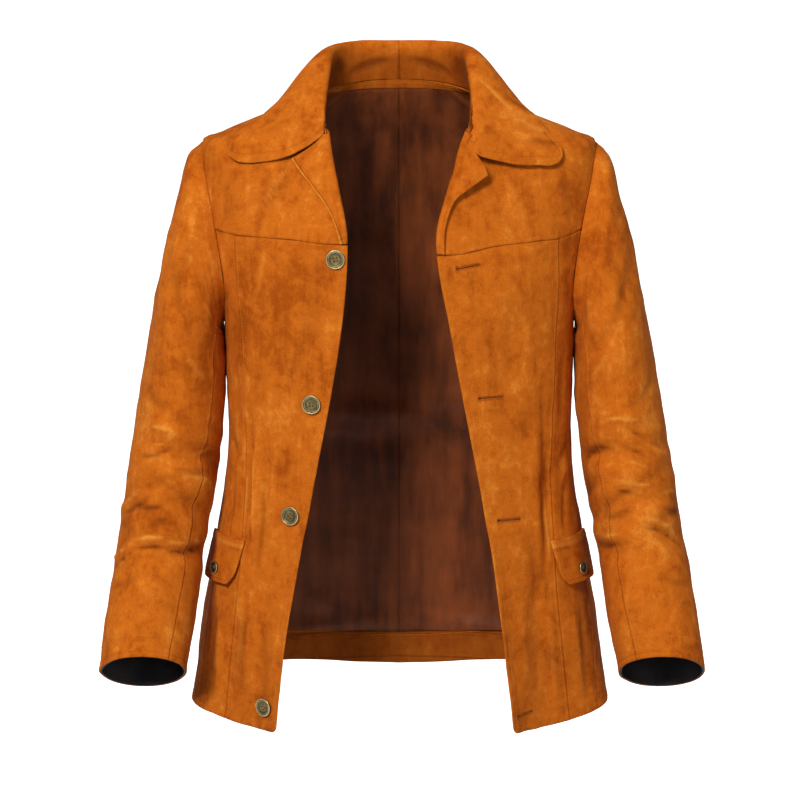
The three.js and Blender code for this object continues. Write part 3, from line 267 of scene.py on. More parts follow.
LEFT_SLEEVE_CREASES = table(
    CREASE_COLUMNS,
    (68, 7.12, 134, 7.25, 1.7, 4, -6, 0.6), (60, 7.42, 88, 7.32, -2.0, 3.6, 3, 0.6),
    (66, 7.95, 104, 7.75, -2.1, 4, -4, 0.6), (72, 8.15, 110, 8.0, 1.3, 3.4, -3, 0.6),
    (66, 8.5, 120, 8.42, 1.8, 3.6, 3, 0.6), (76, 8.7, 120, 8.62, -2.0, 3.6, 3, 0.6),
    (33, 9.5, 92, 9.22, 2.1, 3.2, -4, 0.8), (30, 9.66, 88, 9.38, -1.8, 3.4, -4, 0.7),
    (122, 9.62, 178, 9.52, -1.8, 3.6, 3, 0.6), (118, 9.46, 170, 9.36, 1.5, 3.4, 3, 0.6),
    (14, 8.9, 62, 8.98, -1.5, 4.4, 4, 0.4), (20, 8.6, 58, 8.7, 1.3, 4, -3, 0.4),
    (98, 9.0, 150, 9.1, -1.6, 4.4, 4, 0.5), (30, 7.8, 70, 7.55, 1.2, 4, 3, 0.4),
    (118, 7.75, 165, 7.9, -1.6, 4, -4, 0.5), (32, 6.0, 86, 6.75, -1.3, 8, 6, 0.2),
    (98, 5.0, 142, 6.2, 1.3, 8, 6, 0.2), (25, 10.35, 90, 10.3, -1.2, 6, 4, 0.3),
    (60, 10.75, 115, 10.85, 1.0, 7, -4, 0.2), (15, 2.2, 48, 5.2, 1.0, 12, 8, 0.1),
    (75, 1.0, 68, 4.4, -1.2, 12, 8, 0.1), (110, 1.5, 124, 4.4, 1.2, 10, -6, 0.2),
    (-62, 2.8, -34, 6.0, -1.3, 12, 8, 0.1), (-92, 7.3, -38, 7.7, -1.8, 5, 5, 0.4),
    (-84, 7.8, -30, 8.1, 1.4, 5, 4, 0.4), (-102, 8.5, -48, 8.8, -1.8, 5, 5, 0.4),
    (-72, 9.0, -24, 9.3, 1.3, 5, 4, 0.4), (-90, 9.6, -36, 9.75, -1.5, 5, 4, 0.4),
)
# Along the collar x is its station and y runs from its seam (0) over its fold (1) to its edge (2)
COLLAR_STATION = 40
COLLAR_DEEP = 56
COLLAR_CREASES = {
    "right": table(
        CREASE_COLUMNS,
        (0.2, 0.42, 1.0, 0.22, -1.2, 3.4, 2, 0.5), (0.1, 0.3, 0.7, 0.12, 1.0, 3, 2, 0.5),
        (1.5, 0.3, 2.4, 0.45, -0.9, 5, 3, 0.2), (4.2, 1.15, 5.0, 1.6, 0.9, 7, 3, 0.2),
        (5.1, 1.3, 5.5, 1.85, -0.9, 7, 4, 0.2), (3.4, 1.5, 3.5, 2.0, 0.9, 7, 2, 0.2),
        (2.4, 1.5, 2.5, 2.0, -0.9, 8, 2, 0.2), (1.0, 1.5, 1.1, 2.0, 0.9, 8, 2, 0.2)),
    "left": table(
        CREASE_COLUMNS,
        (0.2, 0.44, 1.1, 0.2, -1.2, 3.4, 2, 0.5), (0.1, 0.3, 0.8, 0.1, 1.0, 3, 2, 0.5),
        (1.4, 0.3, 2.3, 0.5, -0.9, 5, 3, 0.2), (4.0, 1.1, 4.75, 1.6, 1.7, 4.6, 3, 0.5),
        (4.15, 1.35, 4.6, 1.85, -1.4, 6, 3, 0.3), (5.0, 1.55, 5.1, 2.0, 1.8, 7, 2, 0.3),
        (5.5, 1.6, 5.6, 2.0, -1.6, 6, 2, 0.3), (4.3, 1.7, 4.4, 2.0, -1.4, 6, 2, 0.3),
        (3.5, 1.5, 3.6, 2.0, 0.9, 7, 2, 0.2), (2.3, 1.5, 2.4, 2.0, -0.9, 8, 2, 0.2)),
}
# Across a lapel x runs from behind the front (0) to its edge (1), and y down it
LAPEL_WIDE = 62
LAPEL_LONG = 150
LAPEL_CREASES = {
    "right": table(
        CREASE_COLUMNS,
        (0.45, 0.06, 0.75, 0.12, 1.1, 4, 2, 0.5), (0.5, 0.35, 0.8, 0.75, 0.8, 5, 3, 0.3),
        (0.55, 0.5, 0.7, 0.95, -0.7, 4, 2, 0.3)),
    "left": table(
        CREASE_COLUMNS,
        (0.45, 0.1, 0.8, 0.2, -1.0, 5, 2, 0.4), (0.5, 0.3, 0.9, 0.5, 1.0, 5, 3, 0.4),
        (0.6, 0.6, 0.8, 0.9, -0.8, 4, 2, 0.3)),
}
# The back's lining hangs loose: heights are towards the inside of the jacket
LINING_CREASES = table(
    CREASE_COLUMNS,
    (-0.42, 676, -0.02, 664, 4.0, 9, 12, 0.1), (0.03, 662, 0.42, 676, 4.4, 9, 14, 0.1),
    (-0.36, 640, -0.2, 660, 2.4, 8, 6, 0.2), (-0.16, 628, -0.05, 662, 2.6, 7, 5, 0.2),
    (0.08, 600, 0.3, 640, 2.2, 10, 8, 0.1), (0.2, 622, 0.42, 610, 2.0, 9, 6, 0.2),
    (-0.1, 560, -0.01, 572, 1.4, 3.4, 2, 0.5), (0.01, 566, 0.08, 560, 1.6, 3.4, 2, 0.5),
    (-0.12, 586, -0.02, 578, 1.2, 4, 2, 0.5), (0.02, 586, 0.1, 596, 1.2, 4, 2, 0.5),
    (-0.2, 500, -0.05, 560, 1.4, 10, 5, 0.1), (0.05, 440, 0.18, 560, 1.4, 12, 6, 0.1),
    (-0.25, 60, -0.2, 400, 1.2, 16, 10, 0.1), (0.24, 60, 0.2, 420, 1.2, 16, -10, 0.1),
    (-0.12, 14, -0.1, 150, 1.4, 6, 3, 0.2), (0.11, 14, 0.1, 140, 1.3, 6, -3, 0.2),
    (-0.3, 14, -0.26, 130, 1.3, 7, 3, 0.2), (0.29, 14, 0.27, 150, 1.3, 7, -3, 0.2),
    (0.016, 12, 0.016, 120, 1.6, 3, 0, 0.5), (-0.2, 14, -0.19, 70, 1.2, 4, 2, 0.3),
    (0.2, 14, 0.19, 66, 1.2, 4, 2, 0.3),
)


# Numbers and points
def mix(a, b, f):
    return a + (b - a) * f


def smooth(f):
    f = np.clip(f, 0, 1)
    return f * f * (3 - 2 * f)


def bell(f):
    return np.exp(-f * f)


def points(x, y, z):
    return np.stack(np.broadcast_arrays(x, y, z), axis=-1).astype(float)


def size(v):
    return np.linalg.norm(v, axis=-1)


def unit(v):
    return v / np.maximum(size(v), 1e-9)[..., None]


def along(rows, key, column, at):
    """Smooth value of a column where the key has the given values"""
    keys = rows[key]
    values = rows[column]
    last = len(keys) - 1
    at = np.asarray(at, float)
    before = np.maximum(np.arange(last + 1) - 1, 0)
    after = np.minimum(np.arange(last + 1) + 1, last)
    slope = (values[after] - values[before]) / (keys[after] - keys[before])
    i = np.clip(np.searchsorted(keys, at, side="left") - 1, 0, last - 1)
    width = keys[i + 1] - keys[i]
    f = (at - keys[i]) / width
    g = np.clip(f, 0, 1)
    inside = mix(values[i], values[i + 1], smooth(g))
    inside += slope[i] * width * g * (1 - g) ** 2 - slope[i + 1] * width * g * g * (1 - g)
    return inside + slope[i] * width * np.minimum(f, 0) + slope[i + 1] * width * np.maximum(f - 1, 0)


def bezier(a, b, c, d, f):
    g = 1 - f
    return g * g * g * a + 3 * g * g * f * b + 3 * g * f * f * c + f * f * f * d


def soft_noise(x, y, spacing, seed):
    """Smooth random heights from -1 to 1 over a plane, with bumps about the spacing across"""
    grid = np.random.default_rng(seed).uniform(-1, 1, (64, 64))
    x, y = np.broadcast_arrays(np.asarray(x, float) / spacing, np.asarray(y, float) / spacing)
    i = np.floor(x).astype(int)
    j = np.floor(y).astype(int)
    f = smooth(x - i)
    g = smooth(y - j)
    upper = mix(grid[i % 64, j % 64], grid[(i + 1) % 64, j % 64], f)
    lower = mix(grid[i % 64, (j + 1) % 64], grid[(i + 1) % 64, (j + 1) % 64], f)
    return mix(upper, lower, g)


def fold_height(folds, x, y, x_length, y_length):
    """Height of the large folds, in the way that the solids have them"""
    height = np.zeros(np.broadcast(x, y).shape)
    for x1, y1, x2, y2, high, wide in zip(*folds.values()):
        x1, x2, y1, y2 = x1 * x_length, x2 * x_length, y1 * y_length, y2 * y_length
        dx, dy = x2 - x1, y2 - y1
        near = np.clip(((x * x_length - x1) * dx + (y * y_length - y1) * dy) / (dx * dx + dy * dy), 0, 1)
        away = np.hypot(x * x_length - x1 - dx * near, y * y_length - y1 - dy * near) / wide
        height += high * np.sin(np.pi * mix(0.12, 0.88, near)) * bell(away)
    return height


def crease_relief(creases, x, y, x_length, y_length):
    """Height of the creases, with how much lighter their ridges are (partly rubbing, partly painted highlight) and the
    painted shade in their troughs
    """
    x, y = np.broadcast_arrays(x * x_length, y * y_length)
    height = np.zeros(x.shape)
    wear = np.zeros(x.shape)
    shade = np.zeros(x.shape)
    for x1, y1, x2, y2, high, wide, bend, sharp in zip(*creases.values()):
        x1, x2, y1, y2 = x1 * x_length, x2 * x_length, y1 * y_length, y2 * y_length
        dx, dy = x2 - x1, y2 - y1
        long = math.hypot(dx, dy)
        f = ((x - x1) * dx + (y - y1) * dy) / long / long
        side = ((x - x1) * -dy + (y - y1) * dx) / long
        near = np.clip(f, 0, 1)
        bowed = side - bend * 4 * near * (1 - near)
        beyond = (f - near) * long
        away = np.hypot(bowed, beyond) / wide
        profile = mix(bell(away), np.exp(-1.7 * away), sharp) * np.sin(np.pi * mix(0.06, 0.94, near)) ** 0.8
        height += high * profile
        # ridges are marked lighter, partly rubbing and partly a painted highlight; troughs get painted shade
        mark = profile * min(1, abs(high) / 1.6) * (0.45 + 0.6 * sharp)
        if high > 0:
            wear += mark
        else:
            shade += mark
    return height, wear, shade


# The body's form
def body_form(t, level):
    t, level = np.broadcast_arrays(np.asarray(t, float), np.asarray(level, float))
    side = np.where(t < 0, -1.0, 1.0)
    share = np.abs(t)
    at = {name: along(RINGS, "level", name, level) for name in RINGS if name != "level"}
    side_x, side_y, side_z = at["sideX"] + np.where(t < 0, 0, at["fullL"]), at["sideY"], at["sideZ"]
    f = share / SHOULDER_T
    back = points(
        side * bezier(0, BACK_HANDLE * side_x, side_x, side_x, f),
        bezier(at["backY"], at["backY"], mix(side_y, at["backY"], BACK_HANDLE), side_y, f),
        at["backZ"] + (side_z - at["backZ"]) * f * f * (3 - 2 * f))
    f = (share - SHOULDER_T) / (1 - SHOULDER_T)
    edge_x = np.where(t < 0, at["edgeR"], at["edgeL"])
    turn = np.radians(at["turn"])
    reach = EDGE_HANDLE * np.hypot(side_x - edge_x, side_y - at["edgeY"])
    front = points(
        side * bezier(side_x, side_x, edge_x + reach * np.cos(turn), edge_x, f),
        bezier(side_y, mix(side_y, at["edgeY"], SIDE_HANDLE), at["edgeY"] + reach * np.sin(turn),
               at["edgeY"], f),
        mix(side_z, at["edgeZ"], 1 - np.cos(np.pi / 2 * f)))
    return np.where((share <= SHOULDER_T)[..., None], back, front)


def body_frame(t, level):
    """Slopes of the smooth body along t and along level, and its outward normal"""
    dt = 0.002
    along_t = (body_form(t + dt, level) - body_form(t - dt, level)) / (2 * dt)
    along_level = (body_form(t, level + 1) - body_form(t, level - 1)) / 2
    return along_t, along_level, unit(np.cross(along_t, along_level))


def shifted(t, level, across_by, down_by):
    along_t, along_level, _ = body_frame(t, level)
    return t + across_by / size(along_t), level + down_by / size(along_level)


def armhole(angle, side, grow=0.0):
    a = np.radians(angle)
    t, level = shifted(SHOULDER_T + HOLE_WIDE * np.sin(a), HOLE_MIDDLE - HOLE_HALF * np.cos(a),
                       grow * np.sin(a), -grow * np.cos(a))
    return side * t, level


def from_armhole(t, level):
    """Millimetres of cloth from the armhole's edge"""
    oval = np.hypot((np.abs(t) - SHOULDER_T) / HOLE_WIDE, (level - HOLE_MIDDLE) / HOLE_HALF)
    return (oval - 1) * HOLE_ROUND


def yoke_drop(t, level):
    share = np.maximum(YOKE_DROP["t"][0], np.abs(t))
    drop = np.where(t < 0, along(YOKE_DROP, "t", "right", share), along(YOKE_DROP, "t", "left", share))
    near = np.maximum(0, 1 - np.abs(level - YOKE_LEVEL) / YOKE_DROP_REACH)
    return drop * smooth(near)


def hem_drop(t, level):
    share = np.abs(t)
    drop = np.where(t < 0, along(HEM_DROP, "t", "right", share), along(HEM_DROP, "t", "left", share))
    return drop * smooth((level - HEM_DROP_FROM) / (HEM_DROP_TO - HEM_DROP_FROM))


def seam_t(t, level):
    """Half a seam's gap as a share of t"""
    return SHOWN_GAP / 2 / size(body_frame(t, level)[0])


def side_edge(level, front):
    """t where the cloth of a back or a front starts: shoulder seam, armhole or side seam"""
    turn = 1 if front else -1
    seam = np.where(level < HOLE_MIDDLE, SHOULDER_T, along(SIDE_SEAM, "level", "t", level))
    plain = seam + turn * seam_t(seam, level)
    cosine = np.clip((HOLE_MIDDLE - level) / HOLE_HALF, -1, 1)
    oval = SHOULDER_T + turn * HOLE_WIDE * np.sqrt(1 - cosine * cosine)
    inside = (level > HOLE_TOP + 0.01) & (level < HOLE_END - 0.01)
    return np.where(inside, oval, plain)


# The sleeve's form. Angles run 0 outside, 90 front, 180 against the body, 270 back.
def sleeve_form(angle, down, side):
    angle, down = np.broadcast_arrays(np.asarray(angle, float), np.asarray(down, float))
    at = {name: along(SLEEVE_ROWS, "down", name, down) for name in SLEEVE_ROWS if name != "down"}
    tilt = np.radians(at["tilt"])
    rounded = np.minimum(1, at["round"])
    out_x = (at["outerX"] - at["innerX"]) / 2
    out_z = (at["outerZ"] - at["innerZ"]) / 2
    length = np.hypot(out_x, out_z)
    first = {name: values[0] for name, values in SLEEVE_ROWS.items()}
    axis_x = (first["outerX"] - first["innerX"]) / 2
    axis_z = (first["outerZ"] - first["innerZ"]) / 2
    axis = math.hypot(axis_x, axis_z)
    seam = body_form(*armhole(angle, side, -SEAM_GAP))
    dx = side * seam[..., 0] - (first["outerX"] + first["innerX"]) / 2
    dz = seam[..., 2] - (first["outerZ"] + first["innerZ"]) / 2
    u = mix((dx * axis_x + dz * axis_z) / axis / axis, np.cos(np.radians(angle)), rounded)
    v = mix(-seam[..., 1] / first["half"], np.sin(np.radians(angle)), rounded)
    w = (dx * axis_z - dz * axis_x) / axis * (1 - rounded)
    x = (at["outerX"] + at["innerX"]) / 2 + u * out_x + w * out_z / length
    y = at["midY"] - v * at["half"] * np.cos(tilt)
    z = (at["outerZ"] + at["innerZ"]) / 2 + u * out_z + v * at["half"] * np.sin(tilt) - w * out_x / length
    return points(side * x + SLEEVE_SWAY * (down / CUFF_DOWN) ** 2, y, z)


def sleeve_normal(angle, down, side):
    upper = np.maximum(0, down - 0.04)
    round_it = sleeve_form(angle + 2, down, side) - sleeve_form(angle - 2, down, side)
    lower = sleeve_form(angle, down + 0.04, side) - sleeve_form(angle, upper, side)
    normal = unit(np.cross(round_it, lower) * side)
    flat = body_frame(*armhole(angle, side))[2]
    share = np.clip(1 - down, 0, 1) * np.cos(np.radians(angle / 2)) ** 2
    return np.where((down < 1)[..., None], unit(mix(normal, flat, share[..., None])), normal)


def sleeve_relief(angle, down, side):
    turned = np.mod(angle, 360)
    fade = np.minimum(1, down)
    height = fold_height(SLEEVE_FOLDS, turned, down, SLEEVE_DEGREE, SLEEVE_ROW_LENGTH)
    back = np.where(turned > 260, turned - 360, turned)
    creases = RIGHT_SLEEVE_CREASES if side < 0 else LEFT_SLEEVE_CREASES
    fine, wear, shade = crease_relief(creases, back, down, SLEEVE_DEGREE, SLEEVE_ROW_LENGTH)
    plane_x = np.sin(np.radians(angle)) * 65
    plane_y = down * SLEEVE_ROW_LENGTH + np.cos(np.radians(angle)) * 30
    seed = 31 if side < 0 else 37
    touching = smooth((down - 2.6) / 1.2) - smooth((down - 6.3) / 1.1)
    height = height + 1.7 * bell((turned - 172) / 38) * touching
    height -= 1.8 * bell((down - 1.3) / 1.0) * bell(np.sin(np.radians(turned / 2)) / 0.5)
    height = height + SLEEVE_CREASING * fine + 0.9 * soft_noise(plane_x, plane_y, 34, seed)
    height += 0.45 * soft_noise(plane_x, plane_y, 13, seed + 1)
    elbow = bell((down - 8.4) / 1.7)
    ripple = soft_noise(plane_x * 0.3 + down * 4, plane_y, 13, seed + 3) * elbow
    height += 1.5 * ripple
    # the elbow's ripples: ridges marked lighter, partly rubbing and partly painted highlight; troughs get painted shade
    wear += 0.5 * np.maximum(0, ripple - 0.25)
    shade += 0.6 * np.maximum(0, -ripple - 0.25)
    # painted shade on the side that faces the body
    shade += 0.3 * bell((turned - 175) / 38) * smooth((down - 2) / 3)
    return height * fade, wear * fade, shade * fade


def body_relief(t, level):
    height = fold_height(BODY_FOLDS, t, level, RING_LENGTH, 1)
    fine, wear, shade = crease_relief(BODY_CREASES, t, level, CREASE_LENGTH, 1)
    seam_side = smooth((from_armhole(t, level) + 4) / 20)
    across = t * CREASE_LENGTH
    fine = 2.1 * fine + 0.9 * soft_noise(across, level, 36, 11) + 0.45 * soft_noise(across, level, 13, 12)
    touching = smooth((level - 258) / 25) - smooth((level - 330) / 55)
    fine += 1.7 * bell((np.abs(t) - 0.53) / 0.06) * touching
    slack = smooth((level - 500) / 30) - smooth((level - 665) / 30)
    fine -= 1.5 * bell((np.abs(t) - 0.56) / 0.09) * slack
    return height + fine * seam_side, wear * seam_side, shade * seam_side


# How cloth is finished at an edge, from the millimetres to it. Each gives height, lightness (partly rubbing, partly
# painted highlight), painted shade in its grooves and seams, and how much of the cloth's thickness is left.
def edge_seam(away, run, seed):
    pucker = 0.35 * bell(away / 6) * soft_noise(run, away * 0.5, 8, seed)
    height = -0.5 * (1 - smooth(away / 1.3)) + pucker * smooth(away / 1.5)
    # painted shade in the seam's groove; the raised allowance beside it marked a little lighter
    return height, 0.1 * bell((away - 2.4) / 1.6), 0.5 * bell(away / 0.7), np.ones_like(away)


def edge_yoke(away, run, seed):
    pucker = 0.8 * bell(away / 8) * soft_noise(run, away * 0.3, 7, seed)
    height = -0.5 * (1 - smooth(away / 1.1)) + pucker * smooth(away / 1.2)
    # painted shade along the seam line
    dark = (0.8 + 0.5 * soft_noise(run, 0 * away, 16, seed + 9)) * bell(away / 0.65)
    return height, 0.12 * bell((away - 3) / 1.8), dark, np.ones_like(away)


def edge_sewn(away, run, seed):
    height, wear, shade, left = edge_seam(away, run, seed)
    raised = 0.4 * (smooth(away / 1.5) - smooth((away - 4.2) / 1.8)) - 0.3 * bell((away - 3.4) / 0.8)
    # painted shade in the stitch groove
    return height + raised, wear, shade + 0.2 * bell((away - 3.4) / 0.7), left


def edge_turned(away, run, seed):
    left = np.sqrt(np.maximum(0, 1 - (1 - np.clip(away / 1.5, 0, 1)) ** 2))
    groove = -0.5 * bell((away - EDGE_STITCH) / 1.0)
    swell = 0.5 * (smooth(away / 1.5) - smooth((away - EDGE_STITCH - 0.6) / 2.5))
    pucker = 0.3 * bell((away - 4) / 4) * soft_noise(run, away * 0.4, 8, seed)
    # the edge is lighter, partly rubbing and partly painted highlight; painted shade lies in the stitch groove
    wear = (0.22 + 0.2 * soft_noise(run, 0 * away, 12, seed + 5)) * bell(away / 1.6)
    return groove + swell + pucker, wear, 0.3 * bell((away - EDGE_STITCH) / 0.8), mix(0.12, 1, left)


def edge_plain(away, run, seed):
    return np.zeros_like(away), np.zeros_like(away), np.zeros_like(away), np.ones_like(away)


EDGES = {"seam": edge_seam, "yoke": edge_yoke, "sewn": edge_sewn, "turned": edge_turned, "plain": edge_plain}
EDGE_STITCH = 6.5  # of the topstitching from a turned edge
SEWN_STITCH = 3.4  # and from a seam
EDGE_STEPS = np.array([0, 0.35, 0.8, 1.5, 2.4, 3.4, 4.6, 5.6, 6.5, 7.6, 9.2, 11.5])


def spread(start, end, step, fixed=()):
    """Places from start to end: close together at both ends, evenly spaced between, and the fixed ones"""
    reach = EDGE_STEPS[-1]
    middle = np.linspace(start + reach, end - reach, max(2, round((end - start - 2 * reach) / step)) + 1)
    middle = [v for v in middle if all(abs(v - w) > step * 0.3 for w in fixed)]
    wanted = np.unique(np.concatenate([start + EDGE_STEPS, middle, fixed, end - EDGE_STEPS]))
    kept = [wanted[0]]
    for value in wanted[1:]:
        if value - kept[-1] > 0.05:
            kept.append(value)
    return np.array(kept)


def columns(form, rows, step):
    """Shares across each row of a piece, with columns at the edge steps from both ends, and each
    column's millimetres from both ends. form gives points from shares across and rows."""
    shares = np.linspace(0, 1, 121)
    line = form(shares[None, :], rows[:, None])
    run = np.concatenate([np.zeros((len(rows), 1)), np.cumsum(size(np.diff(line, axis=1)), axis=1)], axis=1)
    length = run[:, -1]
    reach = EDGE_STEPS[-1]
    count = max(3, round((length.max() - 2 * reach) / step))
    scale = np.minimum(1, length / (2.4 * reach))[:, None]
    near = EDGE_STEPS[None, :] * scale
    steps = np.linspace(0, 1, count + 1)[1:-1][None, :]
    middle = mix(near[:, -1:], length[:, None] - near[:, -1:], steps)
    places = np.concatenate([near, middle, length[:, None] - near[:, ::-1]], axis=1)
    across = np.array([np.interp(p, r, shares) for p, r in zip(places, run)])
    return across, places, length[:, None] - places


class Piece:
    """One piece of cloth as two grids of points, with how much lighter (rubbing and painted highlight) and how much
    painted shade its outer face has
    """

    def __init__(self, outer, inner, wear, shade, tube=False):
        self.outer = outer
        self.inner = inner
        self.wear = np.clip(wear, 0, 1)
        self.shade = np.clip(shade, 0, 1)
        self.tube = tube

    def row(self, away, length=None):
        """Rows of points and outward normals that lie nearest the given place down the piece"""
        return self.outer[away], self.normals()[away]

    def normals(self):
        down = np.gradient(self.outer, axis=0)
        across = np.gradient(self.outer, axis=1)
        normal = unit(np.cross(across, down))
        out = self.outer - self.inner
        turned = np.sign(np.sum(normal * out, axis=-1, keepdims=True).mean())
        return normal * turned


def dressed(outer, normal, thick, edges, wear, shade):
    """Piece with its edges finished. edges holds for each one its finish, millimetres away, run and seed."""
    height = np.zeros(outer.shape[:2])
    left = np.ones(outer.shape[:2])
    wear = wear.copy()
    shade = shade.copy()
    for finish, away, run, seed in edges:
        away, run = np.broadcast_arrays(away, run)
        # edges add lighter marks (rubbing and painted highlight) and painted shade
        more, worn_and_lit, dark, keep = EDGES[finish](away, run, seed)
        height = height + more
        wear = wear + worn_and_lit
        shade = shade + dark
        left = np.minimum(left, keep)
    pinch = thick / 2 * (1 - left)
    return Piece(outer + normal * (height - pinch)[..., None], outer - normal * (thick - pinch)[..., None],
                 wear, shade)


def body_piece(place, rows, step, edges, lift=0.0, thick=SUEDE):
    """Piece of the body. place gives t and level from shares across and levels; edges names the finish
    of its left, right, top and bottom edges and whether it meets the armhole."""
    across, from_left, from_right = columns(lambda u, v: body_form(*place(u, v)), rows, step)
    t, level = place(across, rows[:, None])
    t, level = np.broadcast_arrays(t, level)
    _, _, normal = body_frame(t, level)
    height, wear, shade = body_relief(t, level)
    raised = lift(rows)[:, None] if callable(lift) else lift
    outer = body_form(t, level) + normal * (height + raised)[..., None]
    seed = int(abs(rows[0]) * 7 + abs(t[0, 0]) * 100)
    finishes = [
        (edges.get("left", "plain"), from_left, level, seed), (edges.get("right", "plain"), from_right, level, seed + 1),
        (edges.get("top", "plain"), rows[:, None] - rows[0], t * CREASE_LENGTH, seed + 2),
        (edges.get("bottom", "plain"), rows[-1] - rows[:, None], t * CREASE_LENGTH, seed + 3),
    ]
    if edges.get("armhole"):
        angle = np.degrees(np.arctan2((np.abs(t) - SHOULDER_T) / HOLE_WIDE, (HOLE_MIDDLE - level) / HOLE_HALF))
        finishes.append(("seam", np.maximum(0, from_armhole(t, level)), angle * 1.4, seed + 4))
    return dressed(outer, normal, thick, finishes, wear, shade)


def armhole_levels():
    return HOLE_MIDDLE - HOLE_HALF * np.cos(np.radians(np.arange(0, 181, 4)))


def body_levels(start, end, step):
    """Levels of the rows from start to end, by angle beside the armhole"""
    beside = armhole_levels()
    beside = beside[(beside > start + 12) & (beside < end - 12)]
    rows = spread(start, end, step, fixed=beside)
    inside = (rows > HOLE_TOP + 1) & (rows < HOLE_END - 1) & (rows > start + 12) & (rows < end - 12)
    return rows[~inside | np.isin(rows, beside)]


def back_piece():
    rows = body_levels(0, HEM_LEVEL, 5)

    def place(u, v):
        t = mix(-1, 1, u) * side_edge(v, False)
        return t, v + hem_drop(t, v)

    edges = {"left": "seam", "right": "seam", "bottom": "turned", "top": "plain", "armhole": True}
    return body_piece(place, rows, 5.2, edges)


def yoke_piece(side):
    rows = body_levels(0, YOKE_LEVEL - SHOWN_GAP / 2, 4)

    def place(u, v):
        inside = mix(YOKE_BACK[0], YOKE_BACK[1], v / YOKE_LEVEL)
        edge = 1 - inside / size(body_frame(side + 0 * v, v)[0])
        t = side * mix(side_edge(v, True), edge, u)
        return t, v + yoke_drop(t, v)

    edges = {"left": "seam", "bottom": "yoke", "armhole": True}
    return body_piece(place, rows, 4.2, edges)


def princess(v):
    return along(PRINCESS_SEAM, "level", "t", v)


def side_piece(side):
    rows = body_levels(YOKE_LEVEL + SHOWN_GAP / 2, HEM_LEVEL, 4.4)

    def place(u, v):
        seam = princess(v)
        t = side * mix(side_edge(v, True), seam - seam_t(seam, v), u)
        return t, v + yoke_drop(t, v) + hem_drop(t, v)

    edges = {"left": "seam", "right": "seam", "top": "yoke", "bottom": "turned", "armhole": True}
    return body_piece(place, rows, 4.2, edges)


def front_edge(v):
    below = np.clip(v - (HEM_LEVEL - HEM_CORNER), 0, HEM_CORNER)
    cut = HEM_CORNER - np.sqrt(np.maximum(0, HEM_CORNER * HEM_CORNER - below * below))
    return 1 - cut / size(body_frame(0.99 + 0 * v, v)[0])


def front_piece(side):
    rows = body_levels(YOKE_LEVEL + SHOWN_GAP / 2, HEM_LEVEL, 4.4)

    def place(u, v):
        seam = princess(v)
        t = side * mix(seam + seam_t(seam, v), front_edge(v), u)
        return t, v + yoke_drop(t, v) + hem_drop(t, v)

    edges = {"left": "sewn", "right": "turned", "top": "yoke", "bottom": "turned"}
    return body_piece(place, rows, 4.2, edges)


def inside_back(rows, from_t, to_t, step, thick, edges, creases=None, bulge=0.0, painted_shade_inside=0.0):
    """Piece that lies inside the back, between two shares of the back's half width"""
    base = -SUEDE - LAYER_GAP

    def place(u, v):
        f = mix(from_t, to_t, u)
        gap = np.where(np.abs(f) < 1e-6, seam_t(0 * v, v) * np.sign(to_t + from_t), 0)
        t = f * side_edge(v, False) + gap
        return t, v + hem_drop(t, v)

    across, from_left, from_right = columns(lambda u, v: body_form(*place(u, v)), rows, step)
    t, level = np.broadcast_arrays(*place(across, rows[:, None]))
    _, _, normal = body_frame(t, level)
    height, _, _ = body_relief(t, level)
    inward = np.zeros(t.shape)
    wear = np.zeros(t.shape)
    shade = np.zeros(t.shape)
    if creases is not None:
        fine, wear, shade = crease_relief(creases, t, level, CREASE_LENGTH, 1)
        inward = np.maximum(0, fine + 0.6 * (1 + soft_noise(t * CREASE_LENGTH, level, 42, 61)))
        inward += bulge * bell((level - FACING_LEVEL + 13) / 9)
        inward *= smooth((level - rows[0]) / 5) * smooth((rows[-1] - level) / 3)
    inner = body_form(t, level) + normal * (height + base - thick - inward)[..., None]
    finishes = [
        (edges.get("left", "plain"), from_left, level, 71), (edges.get("right", "plain"), from_right, level, 72),
        (edges.get("top", "plain"), level - rows[0], t * CREASE_LENGTH, 73),
        (edges.get("bottom", "plain"), rows[-1] - level, t * CREASE_LENGTH, 74),
    ]
    # painted shade over the whole piece, as it lies inside the jacket
    return dressed(inner, -normal, thick, finishes, wear, shade + painted_shade_inside)


BACK_HALF_COLUMNS = 9  # the solids' columns across half the back: what lies inside starts one in


def lining_piece(side):
    near = (BACK_HALF_COLUMNS - 1) / BACK_HALF_COLUMNS
    rows = spread(NECK_BAND_LEVEL + SHOWN_GAP / 2, FACING_LEVEL - SHOWN_GAP / 2, 6)
    ends = (-near, 0) if side < 0 else (0, near)
    edges = {"right" if side < 0 else "left": "seam", "top": "seam", "bottom": "seam"}
    return inside_back(rows, ends[0], ends[1], 6, SATIN, edges, LINING_CREASES, 2.2)


def neck_band_piece():
    near = (BACK_HALF_COLUMNS - 1) / BACK_HALF_COLUMNS
    rows = np.linspace(0, NECK_BAND_LEVEL - SHOWN_GAP / 2, 12)
    # painted shade, as it lies inside the neck
    return inside_back(rows, -near, near, 4, SUEDE, {"bottom": "seam"}, painted_shade_inside=0.3)


def hem_facing_piece():
    rows = spread(FACING_LEVEL + SHOWN_GAP / 2, HEM_LEVEL - 1, 4)
    # painted shade, as it lies inside the hem
    return inside_back(rows, -1, 1, 5, SUEDE, {"top": "sewn", "bottom": "turned"}, painted_shade_inside=0.6)


